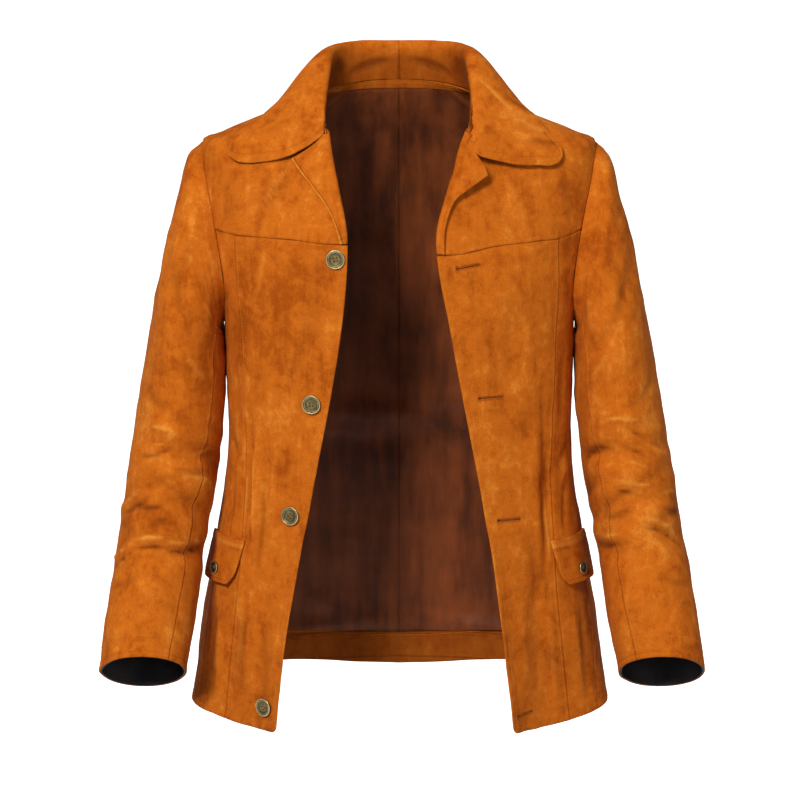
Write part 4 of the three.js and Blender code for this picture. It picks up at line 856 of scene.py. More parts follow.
def sleeve_piece(side, top):
    rows = spread(0, CUFF_DOWN * SLEEVE_ROW_LENGTH, 4.4) / SLEEVE_ROW_LENGTH
    gap = SHOWN_GAP / 2 / SLEEVE_DEGREE

    def place(u, v):
        front = along(FRONT_SLEEVE_SEAM, "down", "angle", v)
        rear = along(BACK_SLEEVE_SEAM, "down", "angle", v)
        if top:
            return mix(rear - 360 + gap, front - gap, u)
        return mix(front + gap, rear - gap, u)

    across, from_left, from_right = columns(lambda u, v: sleeve_form(place(u, v), v, side), rows, 4.4)
    angle, down = np.broadcast_arrays(place(across, rows[:, None]), rows[:, None])
    normal = sleeve_normal(angle, down, side)
    height, wear, shade = sleeve_relief(angle, down, side)
    outer = sleeve_form(angle, down, side) + normal * height[..., None]
    run = down * SLEEVE_ROW_LENGTH
    end = (CUFF_DOWN - down) * SLEEVE_ROW_LENGTH
    finishes = [
        ("seam", from_left, run, 81), ("sewn" if top else "seam", from_right, run, 82),
        ("sewn", run, angle * SLEEVE_DEGREE, 83), ("turned", end, angle * SLEEVE_DEGREE, 84),
    ]
    return dressed(outer, normal, SUEDE, finishes, wear, shade)


def sleeve_lining_piece(side):
    start = SLEEVE_LINING_DOWN * SLEEVE_ROW_LENGTH
    rows = np.linspace(start, SLEEVE_LINING_END * SLEEVE_ROW_LENGTH, 34) / SLEEVE_ROW_LENGTH
    angle, down = np.meshgrid(np.arange(0, 360, 4.0), rows)
    normal = sleeve_normal(angle, down, side)
    height, _, _ = sleeve_relief(angle, down, side)
    end = (SLEEVE_LINING_END - down) * SLEEVE_ROW_LENGTH
    loose = 0.9 * (1 + np.sin(np.radians(angle * 5) + 1.3 * np.sin(down * 2))) * smooth(end / 18)
    base = height - SUEDE - LAYER_GAP
    form = sleeve_form(angle, down, side)
    outer = form + normal * (base - loose)[..., None]
    inner = form + normal * (base - SATIN - loose)[..., None]
    return Piece(inner, outer, np.zeros(angle.shape), np.zeros(angle.shape), tube=True)


def collar_form(at, over, side):
    """Point of half the collar, over from 0 at its seam through 1 at the fold to 2 at its edge"""
    at, over = np.broadcast_arrays(np.asarray(at, float), np.asarray(over, float))
    row = {name: along(COLLAR_ROWS, "at", name, at) for name in COLLAR_ROWS if name != "at"}
    neck_t = side * row["neck"]
    _, _, neck_normal = body_frame(neck_t, 0 * neck_t)
    foot = body_form(neck_t, -row["rise"]) - neck_normal * row["sink"][..., None]
    fold = points(side * row["foldX"], row["foldY"], row["foldZ"])
    edge_t = side * row["edgeT"]
    _, _, edge_normal = body_frame(edge_t, row["edgeLevel"])
    edge = body_form(edge_t, row["edgeLevel"]) + edge_normal * row["lift"][..., None]
    out = unit((edge - fold) * [1, 1, 0])
    rise = size(fold - foot)[..., None]
    f = over[..., None]
    stand = bezier(foot, foot + rise * 0.4 * np.array([0, 0, 1]), fold - out * rise * 0.2, fold, f)
    leave = np.radians(row["leave"])[..., None]
    away = out * np.cos(leave) + np.array([0, 0, -1]) * np.sin(leave)
    first = fold + away * row["reach"][..., None]
    second = mix(edge, fold, COLLAR_SHARE) + edge_normal * row["belly"][..., None]
    second = second - np.array([0, 0, 1]) * row["sag"][..., None]
    fall = bezier(fold, first, second, edge, f - 1)
    return np.where(f <= 1, stand, fall)


def grid_normal(form, u, v, small=0.01):
    across = form(u + small, v) - form(u - small, v)
    down = form(u, v + small) - form(u, v - small)
    return unit(np.cross(across, down))


def collar_piece(side):
    word = "right" if side < 0 else "left"
    length = 250
    rows = spread(0, length, 4) / length
    at = np.maximum(COLLAR_SEAM, rows * COLLAR_LAST)
    ends = COLLAR_ENDS[word]

    def form(over, station):
        over, station = np.broadcast_arrays(over, station)
        fall = points(*(along(ends, "over", axis, np.maximum(over, ends["over"][0])) for axis in "xyz"))
        share = smooth((station - COLLAR_ENDS_FROM) / (COLLAR_LAST - COLLAR_ENDS_FROM))
        lower = bell((station - 3.2) / 1.6) * bell((over - 1.25) / 0.7) * smooth(over / 0.6)
        return collar_form(station, over, side) + fall * share[..., None] + points(*(
            lower * by for by in (-side * COLLAR_INWARDS, 0, -COLLAR_LOWER)))

    across, from_seam, from_edge = columns(lambda u, v: form(u * 2, v), at, 3.6)
    over, station = np.broadcast_arrays(across * 2, at[:, None])
    normal = grid_normal(form, over, station) * side
    high, wear, shade = crease_relief(COLLAR_CREASES[word], station, over, COLLAR_STATION, COLLAR_DEEP)
    plane = (station * COLLAR_STATION, over * COLLAR_DEEP)
    high = high + 0.5 * soft_noise(*plane, 30, 41 + side) + 0.25 * soft_noise(*plane, 11, 44 + side)
    high = (high - 5.2 * bell((station - 3.6) / 1.5) * bell((over - 1.3) / 0.45)) * smooth(over / 0.25)
    # a lighter line along the fold; painted shade on the stand, inside the neck
    wear = wear + 0.15 * bell((over - 1.05) / 0.12)
    shade = shade + 0.8 * (1 - smooth((over - 0.25) / 0.75)) * (0.75 + 0.4 * smooth((station - 0.8) / 1.4))
    outer = form(over, station) + normal * (high + DOUBLED / 2)[..., None]
    run = rows[:, None] * length
    finishes = [
        ("turned", from_edge, run, 42), ("seam", run, over * 50, 43), ("turned", length - run, over * 50, 44),
        ("plain", from_seam, run, 45),
    ]
    return dressed(outer, normal, DOUBLED, finishes, wear, shade)


def lapel_form(rows, across, v, side):
    """Point of a lapel: across from 0 behind the front, round its edge, to 1 at the lapel's edge"""
    across, v = np.broadcast_arrays(np.asarray(across, float), np.asarray(v, float))
    row = {name: along(rows, "v", name, v) for name in rows if name != "v"}
    roll, radius = row["roll"], row["radius"]
    inside = radius + DOUBLED / 2
    edge = side + 0 * roll
    straight = np.maximum(0, 1 - across / LAPEL_STRAIGHT)
    angle = np.pi * np.clip((across - LAPEL_STRAIGHT) / (LAPEL_TURN - LAPEL_STRAIGHT), 0, 1)
    beyond = radius * np.sin(angle) - LAPEL_UNDER * straight - inside
    t, level = shifted(edge, roll, side * beyond, 0)
    against = (radius - LAPEL_BEHIND) * smooth(straight)
    turn_lift = -SUEDE / 2 - radius * np.cos(angle) + against
    turn = body_form(t, level) + body_frame(t, level)[2] * turn_lift[..., None]
    f = np.clip((across - LAPEL_TURN) / (1 - LAPEL_TURN), 0, 1)
    start, _ = shifted(edge, roll, -side * inside, 0)
    t = mix(start, side * row["edgeT"], f)
    level = mix(roll, row["edgeLevel"], f)
    rise = mix(-SUEDE / 2 + radius, row["lift"], smooth(f)) + LAPEL_BELLY * np.sin(np.pi * f) * (1 - v)
    fall = body_form(t, level) + body_frame(t, level)[2] * rise[..., None]
    return np.where((across < LAPEL_TURN)[..., None], turn, fall)


def lapel_piece(side):
    word = "right" if side < 0 else "left"
    v = spread(0, LAPEL_LONG, 4) / LAPEL_LONG
    form = lambda u, w: lapel_form(LAPELS[word], u, w, side)
    across, from_start, from_edge = columns(form, v, 3)
    across, down = np.broadcast_arrays(across, v[:, None])
    normal = grid_normal(form, np.clip(across, 0.01, 0.99), np.clip(down, 0.01, 0.99)) * side
    high, wear, shade = crease_relief(LAPEL_CREASES[word], across, down, LAPEL_WIDE, LAPEL_LONG)
    high = high + 0.3 * soft_noise(across * LAPEL_WIDE, down * LAPEL_LONG, 16, 51)
    high = high * smooth((across - LAPEL_TURN) / 0.2)
    # a pale rubbed line at the edge and a painted shadow line inside it
    worn_and_shaded = LAPEL_WORN_AND_SHADED_EDGE[word]
    wear = wear + worn_and_shaded * 0.55 * bell((from_edge - 1.0) / 1.2)
    shade = shade + worn_and_shaded * 0.6 * bell((from_edge - 3.4) / 1.1)
    outer = form(across, down) + normal * (high + DOUBLED / 2)[..., None]
    run = down * LAPEL_LONG
    finishes = [("turned", from_edge, run, 52), ("seam", run, across * 60, 53),
                ("plain", from_start, run, 54), ("turned", LAPEL_LONG - run, across * 60, 55)]
    return dressed(outer, normal, DOUBLED, finishes, wear, shade)


def flap_piece(side):
    rows = spread(0, FLAP_DEEP, 4)

    def place(u, v):
        half = along(FLAP_ROWS, "down", "half", v)
        tucked = FLAP_TUCK * (1 - smooth(v / 24))
        return side * mix(FLAP_T - half + tucked, FLAP_T + half, u), FLAP_LEVEL + v + FLAP_SLANT * u

    across, from_left, from_right = columns(lambda u, v: body_form(*place(u, v)), rows, 4)
    t, level = np.broadcast_arrays(*place(across, rows[:, None]))
    down = level - FLAP_LEVEL
    _, _, normal = body_frame(t, level)
    height = fold_height(BODY_FOLDS, t, level, RING_LENGTH, 1)
    lift = along(FLAP_ROWS, "down", "lift", down) + FLAP_THICK
    ripple = 0.35 * soft_noise(t * CREASE_LENGTH, level, 18, 91) * smooth(down / 12)
    band = 0.5 * (smooth(down / 1.5) - smooth((down - 9.5) / 2)) - 0.4 * bell((down - 2.4) / 0.8)
    lift = lift + ripple + band - 0.4 * bell((down - 9.2) / 0.9)
    outer = body_form(t, level) + normal * (height + lift)[..., None]
    # the band under the top stitching is lighter, and painted shade lies in the groove below it
    wear = 0.5 * bell((down - 5) / 3.5)
    shade = 0.4 * bell((down - 9.2) / 0.8)
    finishes = [("turned", from_left, down, 92), ("turned", from_right, down, 93),
                ("turned", FLAP_DEEP - down, t * CREASE_LENGTH, 94), ("plain", down, t, 95)]
    return dressed(outer, normal, FLAP_THICK, finishes, wear, shade)


# Meshes
def grid_faces(rows, cols, tube):
    """Faces of a closed wall between an outer and an inner grid of points"""
    index = np.arange(rows * cols).reshape(rows, cols)
    inner = index + rows * cols
    wrap = (lambda a: np.concatenate([a, a[:, :1]], axis=1)) if tube else (lambda a: a)
    out, ins = wrap(index), wrap(inner)
    quads = [
        np.stack([out[:-1, :-1], out[1:, :-1], out[1:, 1:], out[:-1, 1:]], axis=-1).reshape(-1, 4),
        np.stack([ins[:-1, :-1], ins[:-1, 1:], ins[1:, 1:], ins[1:, :-1]], axis=-1).reshape(-1, 4),
        np.stack([out[0, :-1], out[0, 1:], ins[0, 1:], ins[0, :-1]], axis=-1),
        np.stack([out[-1, :-1], ins[-1, :-1], ins[-1, 1:], out[-1, 1:]], axis=-1),
    ]
    if not tube:
        quads.append(np.stack([out[:-1, 0], ins[:-1, 0], ins[1:, 0], out[1:, 0]], axis=-1))
        quads.append(np.stack([out[:-1, -1], out[1:, -1], ins[1:, -1], ins[:-1, -1]], axis=-1))
    return np.concatenate(quads)


def mesh_object(name, vertices, faces, material, values=None, sharp=50):
    """Smooth mesh object from points in millimetres, with values by name at its points"""
    mesh = bpy.data.meshes.new(name)
    mesh.from_pydata((vertices * MM).tolist(), [], faces.tolist() if hasattr(faces, "tolist") else faces)
    mesh.update()
    for key, numbers in (values or {}).items():
        mesh.attributes.new(key, "FLOAT", "POINT").data.foreach_set("value", numbers.ravel().astype(np.float32))
    mesh.shade_smooth()
    mesh.set_sharp_from_angle(angle=math.radians(sharp))
    mesh.materials.append(material)
    piece = bpy.data.objects.new(name, mesh)
    bpy.context.scene.collection.objects.link(piece)
    return piece


def wall_object(name, piece, material):
    rows, cols = piece.outer.shape[:2]
    vertices = np.concatenate([piece.outer.reshape(-1, 3), piece.inner.reshape(-1, 3)])
    faces = grid_faces(rows, cols, piece.tube)
    a, b, c, d = (vertices[faces[:, i]] for i in range(4))
    volume = np.sum(a * np.cross(b, c)) + np.sum(a * np.cross(c, d))
    if volume < 0:
        faces = faces[:, ::-1]
    wear = np.concatenate([piece.wear.ravel(), piece.wear.ravel()])
    shade = np.concatenate([piece.shade.ravel(), piece.shade.ravel()])
    return mesh_object(name, vertices, faces, material, {"wear": wear, "shade": shade})


# Nodes of materials and of geometry
class Field:
    """A socket on which Python's operators add Math nodes"""

    def __init__(self, nodes, socket):
        self.nodes = nodes
        self.socket = socket

    def maths(self, operation, *values):
        sockets = dict(enumerate(values))
        return self.nodes.node("ShaderNodeMath", {"operation": operation}, sockets)

    def __add__(self, other):
        return self.maths("ADD", self, other)

    def __radd__(self, other):
        return self.maths("ADD", other, self)

    def __sub__(self, other):
        return self.maths("SUBTRACT", self, other)

    def __rsub__(self, other):
        return self.maths("SUBTRACT", other, self)

    def __mul__(self, other):
        return self.maths("MULTIPLY", self, other)

    def __rmul__(self, other):
        return self.maths("MULTIPLY", other, self)

    def __truediv__(self, other):
        return self.maths("DIVIDE", self, other)

    def __rtruediv__(self, other):
        return self.maths("DIVIDE", other, self)

    def __pow__(self, other):
        return self.maths("POWER", self, other)

    def between(self, low, high):
        """0 below low, 1 above high and smooth between"""
        return self.nodes.node(
            "ShaderNodeMapRange", {"interpolation_type": "SMOOTHSTEP"}, {0: self, 1: low, 2: high})


class Nodes:
    """Adds nodes to a tree: each one's settings first, then the values or links of its sockets"""

    def __init__(self, tree):
        self.tree = tree

    def node(self, kind, settings=None, sockets=None, output=0):
        made = self.tree.nodes.new(kind)
        for name, value in (settings or {}).items():
            if name == "stops":
                self.set_stops(made.color_ramp, value)
            else:
                setattr(made, name, value)
        for socket, value in (sockets or {}).items():
            self.join(made.inputs[socket], value)
        return Field(self, made.outputs[output])

    def join(self, socket, value):
        if isinstance(value, Field):
            self.tree.links.new(value.socket, socket)
        else:
            socket.default_value = value

    def set_stops(self, ramp, stops):
        while len(ramp.elements) < len(stops):
            ramp.elements.new(1.0)
        for element, (place, colour) in zip(ramp.elements, stops):
            element.position = place
            element.color = (*colour, 1)


class Finish(Nodes):
    """A material under construction"""

    def __init__(self, name, roughness, **constants):
        self.material = bpy.data.materials.new(name)
        self.material.use_nodes = True
        super().__init__(self.material.node_tree)
        self.surface = self.tree.nodes["Principled BSDF"]
        self.surface.inputs["Roughness"].default_value = roughness
        for socket, value in constants.items():
            self.surface.inputs[socket.replace("_", " ")].default_value = value
        self.place = self.node("ShaderNodeTexCoord", output="Object")

    def stretched(self, x, y, z):
        return self.node("ShaderNodeVectorMath", {"operation": "MULTIPLY"}, {0: self.place, 1: (x, y, z)})

    def noise(self, scale, detail=3.0, roughness=0.55, place=None, distortion=0.0):
        sockets = {"Vector": place or self.place, "Scale": scale, "Detail": detail, "Roughness": roughness,
                   "Distortion": distortion}
        return self.node("ShaderNodeTexNoise", None, sockets)

    def value(self, name):
        """A value that the mesh carries at its points"""
        return self.node("ShaderNodeAttribute", {"attribute_name": name}, output="Fac")

    def blend(self, share, first, second, kind="MIX"):
        """Colour between two others"""
        settings = {"data_type": "RGBA", "blend_type": kind, "clamp_factor": True}
        colours = [c if isinstance(c, Field) else (*c, 1) for c in (first, second)]
        return self.node("ShaderNodeMix", settings, {0: share, 6: colours[0], 7: colours[1]}, output=2)

    def finish(self, colour, roughness=None, height=None, depth=0.0005, metallic=None):
        self.join(self.surface.inputs["Base Color"], colour if isinstance(colour, Field) else (*colour, 1))
        if roughness is not None:
            self.join(self.surface.inputs["Roughness"], roughness)
        if metallic is not None:
            self.join(self.surface.inputs["Metallic"], metallic)
        if height is not None:
            bump = self.node("ShaderNodeBump", None, {"Strength": 1.0, "Distance": depth, "Height": height})
            self.join(self.surface.inputs["Normal"], bump)
        return self.material


def suede_finish():
    suede = Finish("suede", 0.94, Sheen_Weight=0.05, Sheen_Roughness=0.4, Sheen_Tint=(1.0, 0.5, 0.15, 1),
                   Specular_IOR_Level=0.05)
    clouds = suede.noise(9, 3, 0.55, distortion=0.4)
    mottles = suede.noise(34, 5, 0.68, distortion=0.5)
    streaks = suede.noise(1, 4, 0.62, place=suede.stretched(60, 60, 13), distortion=0.3)
    rubbed = suede.noise(130, 4, 0.65)
    nap = suede.noise(1100, 2, 0.7)
    tone = (clouds - 0.5) * 1.7 + (mottles - 0.5) * 2.3 + (streaks - 0.5) * 1.8 + (rubbed - 0.5) * 1.3
    dark = (tone * -1.0).between(-0.2, 0.8)
    colour = suede.blend(dark, (0.61, 0.146, 0.009), (0.38, 0.073, 0.003))
    light = tone.between(0.1, 0.85)
    colour = suede.blend(light * 0.9, colour, (0.78, 0.25, 0.026))
    # ridges and edges lighter: partly rubbing, partly painted highlight
    worn_and_lit = (suede.value("wear") * (0.5 + rubbed)).between(0.1, 1.0)
    colour = suede.blend(worn_and_lit * 0.8, colour, (0.88, 0.36, 0.05))
    # painted shade in creases, seams, grooves and hollows
    painted_shade_share = suede.value("shade").between(0.0, 1.0)
    colour = suede.blend(painted_shade_share * 0.88, colour, (0.11, 0.018, 0.0015))
    colour = suede.blend((nap - 0.5) * 1.5 + 0.2, colour, (0.24, 0.043, 0.002))
    height = nap * 0.3 + rubbed * 0.35 + mottles * 0.35
    return suede.finish(colour, roughness=0.9 + nap * 0.08, height=height, depth=0.0017)


def satin_finish(name, colour, bright, roughness):
    satin = Finish(name, roughness, Specular_IOR_Level=0.09)
    weave = satin.noise(1, 2, 0.5, place=satin.stretched(900, 900, 2600))
    clouds = satin.noise(12, 4, 0.55)
    streaks = satin.noise(1, 3, 0.55, place=satin.stretched(55, 55, 9))
    share = (clouds - 0.5) * 1.6 + 0.4 + (weave - 0.5) * 0.5 + (streaks - 0.5) * 1.6
    tone = satin.blend(share, colour, bright)
    # painted shade at the seams
    tone = satin.blend(satin.value("shade") * 0.6, tone, tuple(c * 0.3 for c in colour))
    height = weave * 0.25 + clouds * 0.3 + streaks * 0.45
    return satin.finish(tone, roughness=roughness - 0.06 + weave * 0.14, height=height, depth=0.0006)


def brass_finish():
    brass = Finish("brass", 0.42, Metallic=1.0)
    tarnish = brass.noise(260, 4, 0.6)
    rub = brass.value("wear")
    share = (rub * 0.7 + 0.08 + (tarnish - 0.5) * 0.9).between(0.02, 1.0)
    colour = brass.blend(share, (0.085, 0.063, 0.026), (0.36, 0.29, 0.15))
    colour = brass.blend(brass.value("shade"), colour, (0.02, 0.014, 0.009))
    return brass.finish(colour, roughness=0.55 - share * 0.2, height=tarnish, depth=0.00015)


def thread_finish(name, dark, light):
    thread = Finish(name, 0.85, Specular_IOR_Level=0.1)
    fibre = thread.noise(2500, 2, 0.6)
    colour = thread.blend(fibre, dark, light)
    return thread.finish(colour, height=fibre, depth=0.0001)


SUEDE_FINISH = suede_finish()
BACK_SATIN = satin_finish("back_satin", (0.06, 0.0125, 0.0022), (0.23, 0.052, 0.010), 0.5)
SLEEVE_SATIN = satin_finish("sleeve_satin", (0.009, 0.0075, 0.008), (0.02, 0.017, 0.017), 0.45)
BRASS = brass_finish()
THREAD = thread_finish("thread", (0.50, 0.15, 0.018), (0.80, 0.30, 0.05))
BUTTON_THREAD = thread_finish("button_thread", (0.14, 0.075, 0.02), (0.36, 0.22, 0.07))
DARK_THREAD = thread_finish("dark_thread", (0.16, 0.035, 0.004), (0.36, 0.095, 0.012))


# Rows of stitches, made from lines along the cloth
def stitch_tree():
    tree = bpy.data.node_groups.new("stitch_rows", "GeometryNodeTree")
    tree.interface.new_socket("Rows", in_out="INPUT", socket_type="NodeSocketGeometry")
    for name, kind in (("Pitch", "Float"), ("Length", "Float"), ("Thickness", "Float"), ("Seed", "Int"),
                       ("Thread", "Material")):
        tree.interface.new_socket(name, in_out="INPUT", socket_type=f"NodeSocket{kind}")
    tree.interface.new_socket("Stitches", in_out="OUTPUT", socket_type="NodeSocketGeometry")
    nodes = Nodes(tree)
    given = tree.nodes.new("NodeGroupInput")
    of = {socket.name: Field(nodes, socket) for socket in given.outputs if socket.name}
    line = nodes.node("GeometryNodeMeshToCurve", None, {0: of["Rows"]})
    spaced = nodes.node("GeometryNodeResampleCurve", {"mode": "LENGTH"}, {"Curve": line, "Length": of["Pitch"]})
    out = nodes.node("GeometryNodeInputNamedAttribute", {"data_type": "FLOAT_VECTOR"}, {"Name": "out"})
    run = nodes.node("GeometryNodeInputTangent")
    turn = nodes.node("FunctionNodeAxesToRotation", {"primary_axis": "Z", "secondary_axis": "X"}, {0: out, 1: run})
    ball = nodes.node("GeometryNodeMeshUVSphere", None, {"Segments": 6, "Rings": 4, "Radius": 0.5})
    shape = nodes.node("ShaderNodeCombineXYZ", None, {0: of["Length"], 1: of["Thickness"], 2: of["Thickness"]})
    stitch = nodes.node("GeometryNodeTransform", None, {"Geometry": ball, "Scale": shape})
    uneven = nodes.node("FunctionNodeRandomValue", {"data_type": "FLOAT_VECTOR"},
                        {0: (0.82, 0.85, 0.8), 1: (1.12, 1.15, 1.2), "Seed": of["Seed"]})
    laid = nodes.node("GeometryNodeInstanceOnPoints", None,
                      {"Points": spaced, "Instance": stitch, "Rotation": turn, "Scale": uneven})
    real = nodes.node("GeometryNodeRealizeInstances", None, {0: laid})
    done = nodes.node("GeometryNodeSetMaterial", None, {"Geometry": real, "Material": of["Thread"]})
    tree.links.new(done.socket, tree.nodes.new("NodeGroupOutput").inputs[0])
    return tree


STITCH_TREE = stitch_tree()


def stitches(name, lines, pitch, length, thickness, seed, material):
    """One mesh of stitches along lines, each a pair of points and outward normals in millimetres"""
    vertices = np.concatenate([line for line, _ in lines])
    normals = np.concatenate([normal for _, normal in lines])
    edges = []
    start = 0
    for line, _ in lines:
        edges += [(start + i, start + i + 1) for i in range(len(line) - 1)]
        start += len(line)
    mesh = bpy.data.meshes.new(f"{name}_lines")
    mesh.from_pydata((vertices * MM).tolist(), edges, [])
    mesh.attributes.new("out", "FLOAT_VECTOR", "POINT").data.foreach_set("vector", normals.ravel().astype(np.float32))
    holder = bpy.data.objects.new(f"{name}_lines", mesh)
    bpy.context.scene.collection.objects.link(holder)
    modifier = holder.modifiers.new("stitches", "NODES")
    modifier.node_group = STITCH_TREE
    inputs = {item.name: item.identifier for item in STITCH_TREE.interface.items_tree if item.in_out == "INPUT"}
    modifier[inputs["Pitch"]] = pitch * MM
    modifier[inputs["Length"]] = length * MM
    modifier[inputs["Thickness"]] = thickness * MM
    modifier[inputs["Seed"]] = seed
    modifier[inputs["Thread"]] = material
    made = holder.evaluated_get(bpy.context.evaluated_depsgraph_get())
    sewn = bpy.data.objects.new(name, bpy.data.meshes.new_from_object(made))
    bpy.context.scene.collection.objects.link(sewn)
    bpy.data.objects.remove(holder)
    sewn.data.shade_smooth()
    return sewn


def grid_line(piece, axis, away, lift=0.12, start=0, end=None):
    """Line of stitches along a piece's row (axis 0) or column (axis 1) at the given index"""
    outer = piece.outer[away] if axis == 0 else piece.outer[:, away]
    normal = piece.normals()[away] if axis == 0 else piece.normals()[:, away]
    cut = slice(start, end)
    return outer[cut] + normal[cut] * lift, normal[cut]


def step_index(away):
    """Index of the edge step that lies nearest some millimetres from an edge"""
    return int(np.argmin(np.abs(EDGE_STEPS - away)))


SEWN = step_index(SEWN_STITCH)
TURNED = step_index(EDGE_STITCH)

# Pieces of cloth: node and how it is made
pieces = {
    "back": back_piece(),
    "neck_band": neck_band_piece(),
    "hem_facing": hem_facing_piece(),
    "back_lining_right": lining_piece(-1),
    "back_lining_left": lining_piece(1),
}
for word, side in (("right", -1), ("left", 1)):
    pieces[f"front_yoke_{word}"] = yoke_piece(side)
    pieces[f"side_panel_{word}"] = side_piece(side)
    pieces[f"front_panel_{word}"] = front_piece(side)
    pieces[f"collar_{word}"] = collar_piece(side)
    pieces[f"lapel_{word}"] = lapel_piece(side)
    pieces[f"top_sleeve_{word}"] = sleeve_piece(side, True)
    pieces[f"under_sleeve_{word}"] = sleeve_piece(side, False)
    pieces[f"sleeve_lining_{word}"] = sleeve_lining_piece(side)
    pieces[f"pocket_flap_{word}"] = flap_piece(side)

# Each kind of piece: slot, flat width and length in metres, share of that rectangle, what it hangs on
CUTS = {
    "back": ("suede", 0.75, 0.78, 0.8, ["neck_band"]),
    "neck_band": ("suede", 0.24, 0.03, 0.8, ["back"]),
    "hem_facing": ("suede", 0.68, 0.05, 0.9, ["back"]),
    "back_lining": ("back_satin", 0.36, 0.70, 0.85, ["back"]),
    "front_yoke": ("suede", 0.24, 0.20, 0.8, ["back"]),
    "side_panel": ("suede", 0.12, 0.60, 0.8, ["front_yoke"]),
    "front_panel": ("suede", 0.18, 0.60, 0.9, ["front_yoke"]),
    "collar": ("suede", 0.28, 0.16, 0.8, ["back"]),
    "lapel": ("suede", 0.10, 0.18, 0.7, ["front_yoke"]),
    "top_sleeve": ("suede", 0.36, 0.66, 0.8, ["front_yoke"]),
    "under_sleeve": ("suede", 0.16, 0.62, 0.8, ["back"]),
    "sleeve_lining": ("sleeve_satin", 0.34, 0.16, 0.9, ["top_sleeve"]),
    "pocket_flap": ("suede", 0.16, 0.07, 0.85, ["front_panel"]),
}
FINISHES = {"suede": SUEDE_FINISH, "back_satin": BACK_SATIN, "sleeve_satin": SLEEVE_SATIN}


def split_name(node):
    """Kind of a piece and which side it is on"""
    for word in ("right", "left"):
        if node.endswith(f"_{word}"):
            return node[:-len(word) - 1], word
    return node, ""


def flat_size(piece):
    """Width, length and area in metres of the flat cut that a piece was made from"""
    middle = (piece.outer + piece.inner) / 2
    if piece.tube:
        middle = np.concatenate([middle, middle[:, :1]], axis=1)
    across = np.diff(middle, axis=1)
    down = np.diff(middle, axis=0)
    wide = size(across).sum(axis=1).max() * MM
    long = size(down).sum(axis=0).max() * MM
    area = size(np.cross(across[:-1], down[:, :-1])).sum() * MM * MM
    return float(wide), float(long), float(min(area, wide * long))


cloth = {}
for node, piece in pieces.items():
    kind, _ = split_name(node)
    cloth[node] = wall_object(f"{node}_cloth", piece, FINISHES[CUTS[kind][0]])


# Buttonholes, cut most of the way into the left front
def keyhole(t1, level1, t2, level2):
    """Outline of a keyhole slot in a flat plane, with the plane's matrix in metres"""
    piece_normal = body_frame(np.array(t1), np.array(level1))[2]
    lift = body_relief(np.array(t1), np.array(level1))[0]
    near = body_form(t1, level1) + piece_normal * lift
    far = body_form(t2, level2) + body_frame(np.array(t2), np.array(level2))[2] * body_relief(
        np.array(t2), np.array(level2))[0]
    along_slot = unit(far - near)
    up = unit(piece_normal - along_slot * np.sum(piece_normal * along_slot))
    across = np.cross(up, along_slot)
    matrix = Matrix([[*(v * 1.0)] for v in (along_slot, across, up)]).transposed().to_4x4()
    matrix.translation = Vector(near * MM)
    return matrix, float(size(far - near))


def slot_outline(length, eye, half):
    """Points round a keyhole: an eyelet at 0 and a slot to the given length"""
    start = math.asin(half / eye)
    angles = np.linspace(start, 2 * math.pi - start, 21)
    ring = [(eye * math.cos(a), eye * math.sin(a)) for a in angles]
    return ring + [(length - 0.4, -half), (length, 0), (length - 0.4, half)]


HOLE_DEEP = 1.15  # the facing behind closes them
EYELET = 1.5
SLOT_HALF = 0.45


def cut_buttonholes(panel):
    rims = []
    for hole in zip(*BUTTONHOLES.values()):
        matrix, length = keyhole(*hole)
        outline = slot_outline(length, EYELET, SLOT_HALF)
        count = len(outline)
        lower = np.array([(x, y, -HOLE_DEEP) for x, y in outline])
        upper = lower + [0, 0, 6.0]
        faces = [tuple(range(count))[::-1], tuple(range(count, 2 * count))]
        faces += [(i, (i + 1) % count, (i + 1) % count + count, i + count) for i in range(count)]
        # the slot's walls and floor take painted shade
        values = {"wear": np.zeros(2 * count), "shade": np.ones(2 * count)}
        cutter = mesh_object("keyhole_cutter", np.concatenate([lower, upper]), faces, SUEDE_FINISH, values)
        cutter.data.transform(matrix)
        modifier = panel.modifiers.new("keyhole", "BOOLEAN")
        modifier.operation = "DIFFERENCE"
        modifier.solver = "EXACT"
        modifier.object = cutter
        made = panel.evaluated_get(bpy.context.evaluated_depsgraph_get())
        cut = bpy.data.meshes.new_from_object(made)
        panel.modifiers.remove(modifier)
        panel.data = cut
        bpy.data.objects.remove(cutter)
        rims.append((matrix, length))
    return rims


rims = cut_buttonholes(cloth["front_panel_left"])


def surface_point(panel, matrix, x, y):
    """Point of a panel's face under a place on the keyhole's plane, in millimetres"""
    up = Vector((matrix[0][2], matrix[1][2], matrix[2][2]))
    start = matrix @ Vector((x * MM, y * MM, 0.006))
    hit, place, normal, _ = panel.ray_cast(start, -up)
    return (np.array(place) / MM, np.array(normal)) if hit else None


def buttonhole_lines(panel):
    """Edge stitches round each buttonhole, laid across its rim"""
    lines = []
    for matrix, length in rims:
        around = slot_outline(length, EYELET + 1.0, SLOT_HALF + 0.9)
        ring = np.array(around + around[:1])
        run = np.concatenate([[0], np.cumsum(size(np.diff(ring, axis=0)))])
        for place in np.arange(0, run[-1], 0.95):
            x = np.interp(place, run, ring[:, 0])
            y = np.interp(place, run, ring[:, 1])
            inner = surface_point(panel, matrix, x * 0.99, y * 0.72)
            outer = surface_point(panel, matrix, x, y * 1.5)
            if inner and outer and size(inner[0] - outer[0]) < 4:
                normal = outer[1]
                lines.append((np.array([inner[0] + normal * 0.1, outer[0] + normal * 0.1]), np.array([normal, normal])))
    return lines


